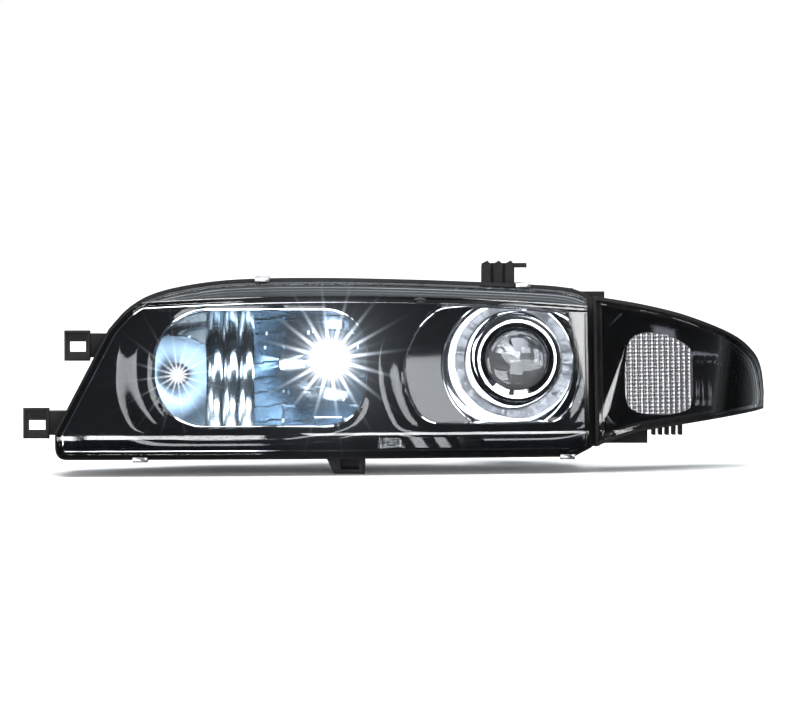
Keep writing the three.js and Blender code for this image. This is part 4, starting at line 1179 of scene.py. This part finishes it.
def turn_holder():
    """A twist-in bulb holder with two wings to grip."""
    rear = TURN_REAR + TURN_COLLAR + GAP
    profile = [
        (0, rear - 34), (9.5, rear - 34), (10, rear - 33.5), (10, rear - 16), (12, rear - 14),
        (12, rear), (18.5, rear), (19, rear + 0.5), (19, rear + 3.5), (18.5, rear + 4),
        (12, rear + 4), (12, rear + 13), (11, rear + 14), (0, rear + 14),
    ]
    body = turned(profile, TURN, 72, "turn_bulb_holder_moulding")
    x, z = TURN
    wings = bevel(box(x - 18, x + 18, rear + 3, rear + 10, z - 2.5, z + 2.5), 0.8)
    return join(body, wings)


def vent_cap():
    """A cap on the vent's stub, with an elbow that hangs down."""
    start = REAR + 7 + GAP
    profile = [
        (0, start), (9, start), (9, start + 6), (8.4, start + 7.6), (7, start + 8.7), (0, start + 9),
    ]
    cup = turned(profile, VENT, 48, "vent_elbow")
    return join(cup, upright_rod(3.4, VENT[0], start + 4.5, VENT[1] - 17, VENT[1]))


def wiring_grommet():
    """A rubber plug whose groove holds the rear wall."""
    inside, neck = REAR - WALL, 7.6
    profile = [
        (0, inside - 3), (10, inside - 3), (10, inside - GAP), (neck, inside - GAP),
        (neck, REAR + GAP), (12, REAR + GAP), (12, REAR + 1.5), (11, REAR + 4), (8.5, REAR + 4.6),
        (8, REAR + 6), (6.6, REAR + 6.2), (5, REAR + 9), (0, REAR + 9),
    ]
    return turned(profile, GROMMET, 64, "wiring_grommet_moulding")


rear_cap("high_beam_cap", HIGH_BEAM, 20)
rear_cap("low_beam_cap", PROJECTOR, 58)
cap_seal("high_beam_cap_seal", HIGH_BEAM)
cap_seal("low_beam_cap_seal", PROJECTOR)
adjuster_knob("vertical_adjuster_knob", LOWER_NUT)
adjuster_knob("horizontal_adjuster_knob", INNER_NUT)
adjuster_screw("vertical_adjuster_screw", LOWER_NUT)
adjuster_screw("horizontal_adjuster_screw", INNER_NUT)
fit(turn_holder(), "turn_bulb_holder")
fit(vent_cap(), "vent_cap")
fit(wiring_grommet(), "wiring_grommet")


# ---- moulded and pressed pieces

def moulding(node, width):
    """The CAD node's own shape with its edges rounded over."""
    mesh = frame["nodes"][node].data.copy()
    work = bmesh.new()
    work.from_mesh(mesh)
    bmesh.ops.remove_doubles(work, verts=work.verts, dist=2e-5)
    bmesh.ops.dissolve_limit(work, angle_limit=radians(1), verts=work.verts, edges=work.edges)
    work.to_mesh(mesh)
    work.free()
    return fit(bevel(show(node + "_finished", mesh), width), node)


ROUNDED = {
    0.45: ("upper_grille_bracket", "lower_grille_bracket", "top_mount_bracket"),
    0.8: ("lower_mount_bracket",),
    0.2: ("upper_inner_lens_clip", "upper_outer_lens_clip", "lower_inner_lens_clip",
          "lower_outer_lens_clip", "high_beam_bulb_clip", "low_beam_bulb_clip", "cutoff_shield"),
    0.25: ("corner_lamp_screw", "top_bracket_screw", "pivot_ball_stud", "pivot_socket",
           "vertical_adjuster_nut", "horizontal_adjuster_nut", "high_beam_bulb_base",
           "low_beam_bulb_base", "position_bulb_holder"),
    0.4: ("carrier_frame", "projector_lens_holder", "projector_bowl"),
}
for width, names in ROUNDED.items():
    for name in names:
        moulding(name, width)


# ---- lamps, floor and camera

# The middle of the lamp, in metres in the row frame.
CENTRE = (ORIGIN + np.array([0.0, 60.0, 86.0])) * MM


def lamp(name, kind, energy, **settings):
    """A lamp in the scene, with settings of its light given by name."""
    light = bpy.data.lights.new(name, kind)
    light.energy = energy
    for key, value in settings.items():
        setattr(light, key, value)
    return show(name, light)


def at_angle(azimuth, elevation, distance):
    """A place seen from the lamp at an azimuth from straight ahead and an elevation."""
    turn, rise = radians(azimuth), radians(elevation)
    return distance * Vector((sin(turn) * cos(rise), -cos(turn) * cos(rise), sin(rise)))


def softboxes():
    """Large soft lamps, all equally bright, placed where the even faces of the lenses miss them."""
    radiance = 11
    for name, azimuth, elevation, distance, width, height in (
        ("low_front", 3, 3, 5.0, 0.95, 1.6),
        ("low_left", -16, 0, 5.0, 2.3, 1.6),
        ("low_right", 20, 15, 5.0, 1.5, 1.0),
        ("side_right", 46, 2, 2.2, 0.5, 1.2),
        ("side_left", -44, 4, 2.2, 0.6, 1.2),
        ("high_right", 50, 50, 6.0, 2.5, 2.1),
        ("high_left", -12, 58, 6.0, 2.6, 1.0),
    ):
        power = radiance * pi * width * height
        softbox = lamp(name, "AREA", power, shape="RECTANGLE", size=width, size_y=height)
        place = at_angle(azimuth, elevation, distance)
        softbox.location = Vector(CENTRE) + place
        softbox.rotation_euler = (-place).to_track_quat("-Z", "Y").to_euler()


def overhead_sun():
    """Broad light from straight above, for the floor and the soft shadow on it."""
    lamp("overhead", "SUN", 3.7, angle=radians(50)).rotation_euler = (radians(-5), 0, 0)


def bulb_lights():
    """The light that the two lit bulbs throw on their reflector."""
    for name, (x, z), y, power in (
        ("high_beam_light", HIGH_BEAM, 120, 0.5),
        ("position_light", POSITION_LAMP, 90, 0.003),
    ):
        light = lamp(name, "POINT", power, shadow_soft_size=0.002, color=(0.85, 0.93, 1.0))
        light.location = (ORIGIN + np.array([x, y, z])) * MM
        light.visible_glossy = False
        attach(light, "optics_carrier")


def floor():
    """A wide white sheet under the lamp's lowest point."""
    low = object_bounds()[0][2]
    half = 40.0
    mesh = bpy.data.meshes.new("floor")
    corners = [(x, y, low) for x, y in ((-half, -half), (half, -half), (half, half), (-half, half))]
    mesh.from_pydata(corners, [], [(0, 1, 2, 3)])
    sheet = show("floor", mesh)
    mesh.materials.append(PAINTS["floor_white"])
    sheet.visible_glossy = False
    sheet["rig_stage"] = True


def surroundings():
    """White where the camera looks; in reflections dark in front and bright behind."""
    world = bpy.data.worlds.new("studio")
    bpy.context.scene.world = world
    world.use_nodes = True
    tree = world.node_tree
    new, link = tree.nodes.new, tree.links.new
    split, product = new("ShaderNodeSeparateXYZ"), new("ShaderNodeMath")
    link(new("ShaderNodeTexCoord").outputs["Generated"], split.inputs["Vector"])
    product.operation = "MULTIPLY"
    dark, bright = 0.1, 1.0
    for k, (axis, low, high) in enumerate((("Y", 0.1, 0.7), ("Z", -0.25, 0.1))):
        span = new("ShaderNodeMapRange")
        span.interpolation_type = "SMOOTHSTEP"
        set_span(span, low, high, dark, bright)
        link(split.outputs[axis], span.inputs["Value"])
        link(span.outputs["Result"], product.inputs[k])
    reflected, seen = tree.nodes["Background"], new("ShaderNodeBackground")
    reflected.inputs["Color"].default_value = (0.86, 0.94, 1.0, 1)
    link(product.outputs["Value"], reflected.inputs["Strength"])
    seen.inputs["Color"].default_value = (1, 1, 1, 1)
    mix = new("ShaderNodeMixShader")
    link(new("ShaderNodeLightPath").outputs["Is Camera Ray"], mix.inputs["Fac"])
    link(reflected.outputs["Background"], mix.inputs[1])
    link(seen.outputs["Background"], mix.inputs[2])
    link(mix.outputs["Shader"], tree.nodes["World Output"].inputs["Surface"])


def camera():
    """A long lens a little above the lamp's middle."""
    view = bpy.data.cameras.new("camera")
    view.lens = 200
    view.sensor_width = 36
    view.clip_end = 60
    frame_width, rise = 0.704, radians(2)
    distance = view.lens / view.sensor_width * frame_width
    eye = show("camera", view)
    aim = Vector(CENTRE)
    eye.location = aim + distance * Vector((0, -cos(rise), sin(rise)))
    eye.rotation_euler = (aim - eye.location).to_track_quat("-Z", "Y").to_euler()
    bpy.context.scene.camera = eye


def lit_lamp_glare():
    """The haze and rays that a camera's lens puts round a lit bulb."""
    scene = bpy.context.scene
    scene.use_nodes = True
    tree = scene.node_tree
    tree.nodes.clear()
    last = tree.nodes.new("CompositorNodeRLayers").outputs["Image"]
    rays = {"Streaks": 16, "Iterations": 4}
    for kind, threshold, strength, shape in (
        ("STREAKS", 40, 0.08, {**rays, "Fade": 0.91, "Streaks Angle": radians(7)}),
        ("STREAKS", 400, 0.03, {**rays, "Fade": 0.88, "Streaks Angle": radians(18)}),
        ("BLOOM", 40, 0.24, {"Size": 0.3}),
        ("FOG_GLOW", 400, 0.12, {"Size": 0.7}),
    ):
        glare = tree.nodes.new("CompositorNodeGlare")
        glare.glare_type = kind
        glare.quality = "HIGH"
        for key, value in {"Threshold": threshold, "Strength": strength, **shape}.items():
            glare.inputs[key].default_value = value
        tree.links.new(last, glare.inputs["Image"])
        last = glare.outputs["Image"]
    tree.links.new(last, tree.nodes.new("CompositorNodeComposite").inputs["Image"])


softboxes()
overhead_sun()
bulb_lights()
floor()
surroundings()
camera()
lit_lamp_glare()
bpy.context.scene.view_settings.view_transform = "Standard"
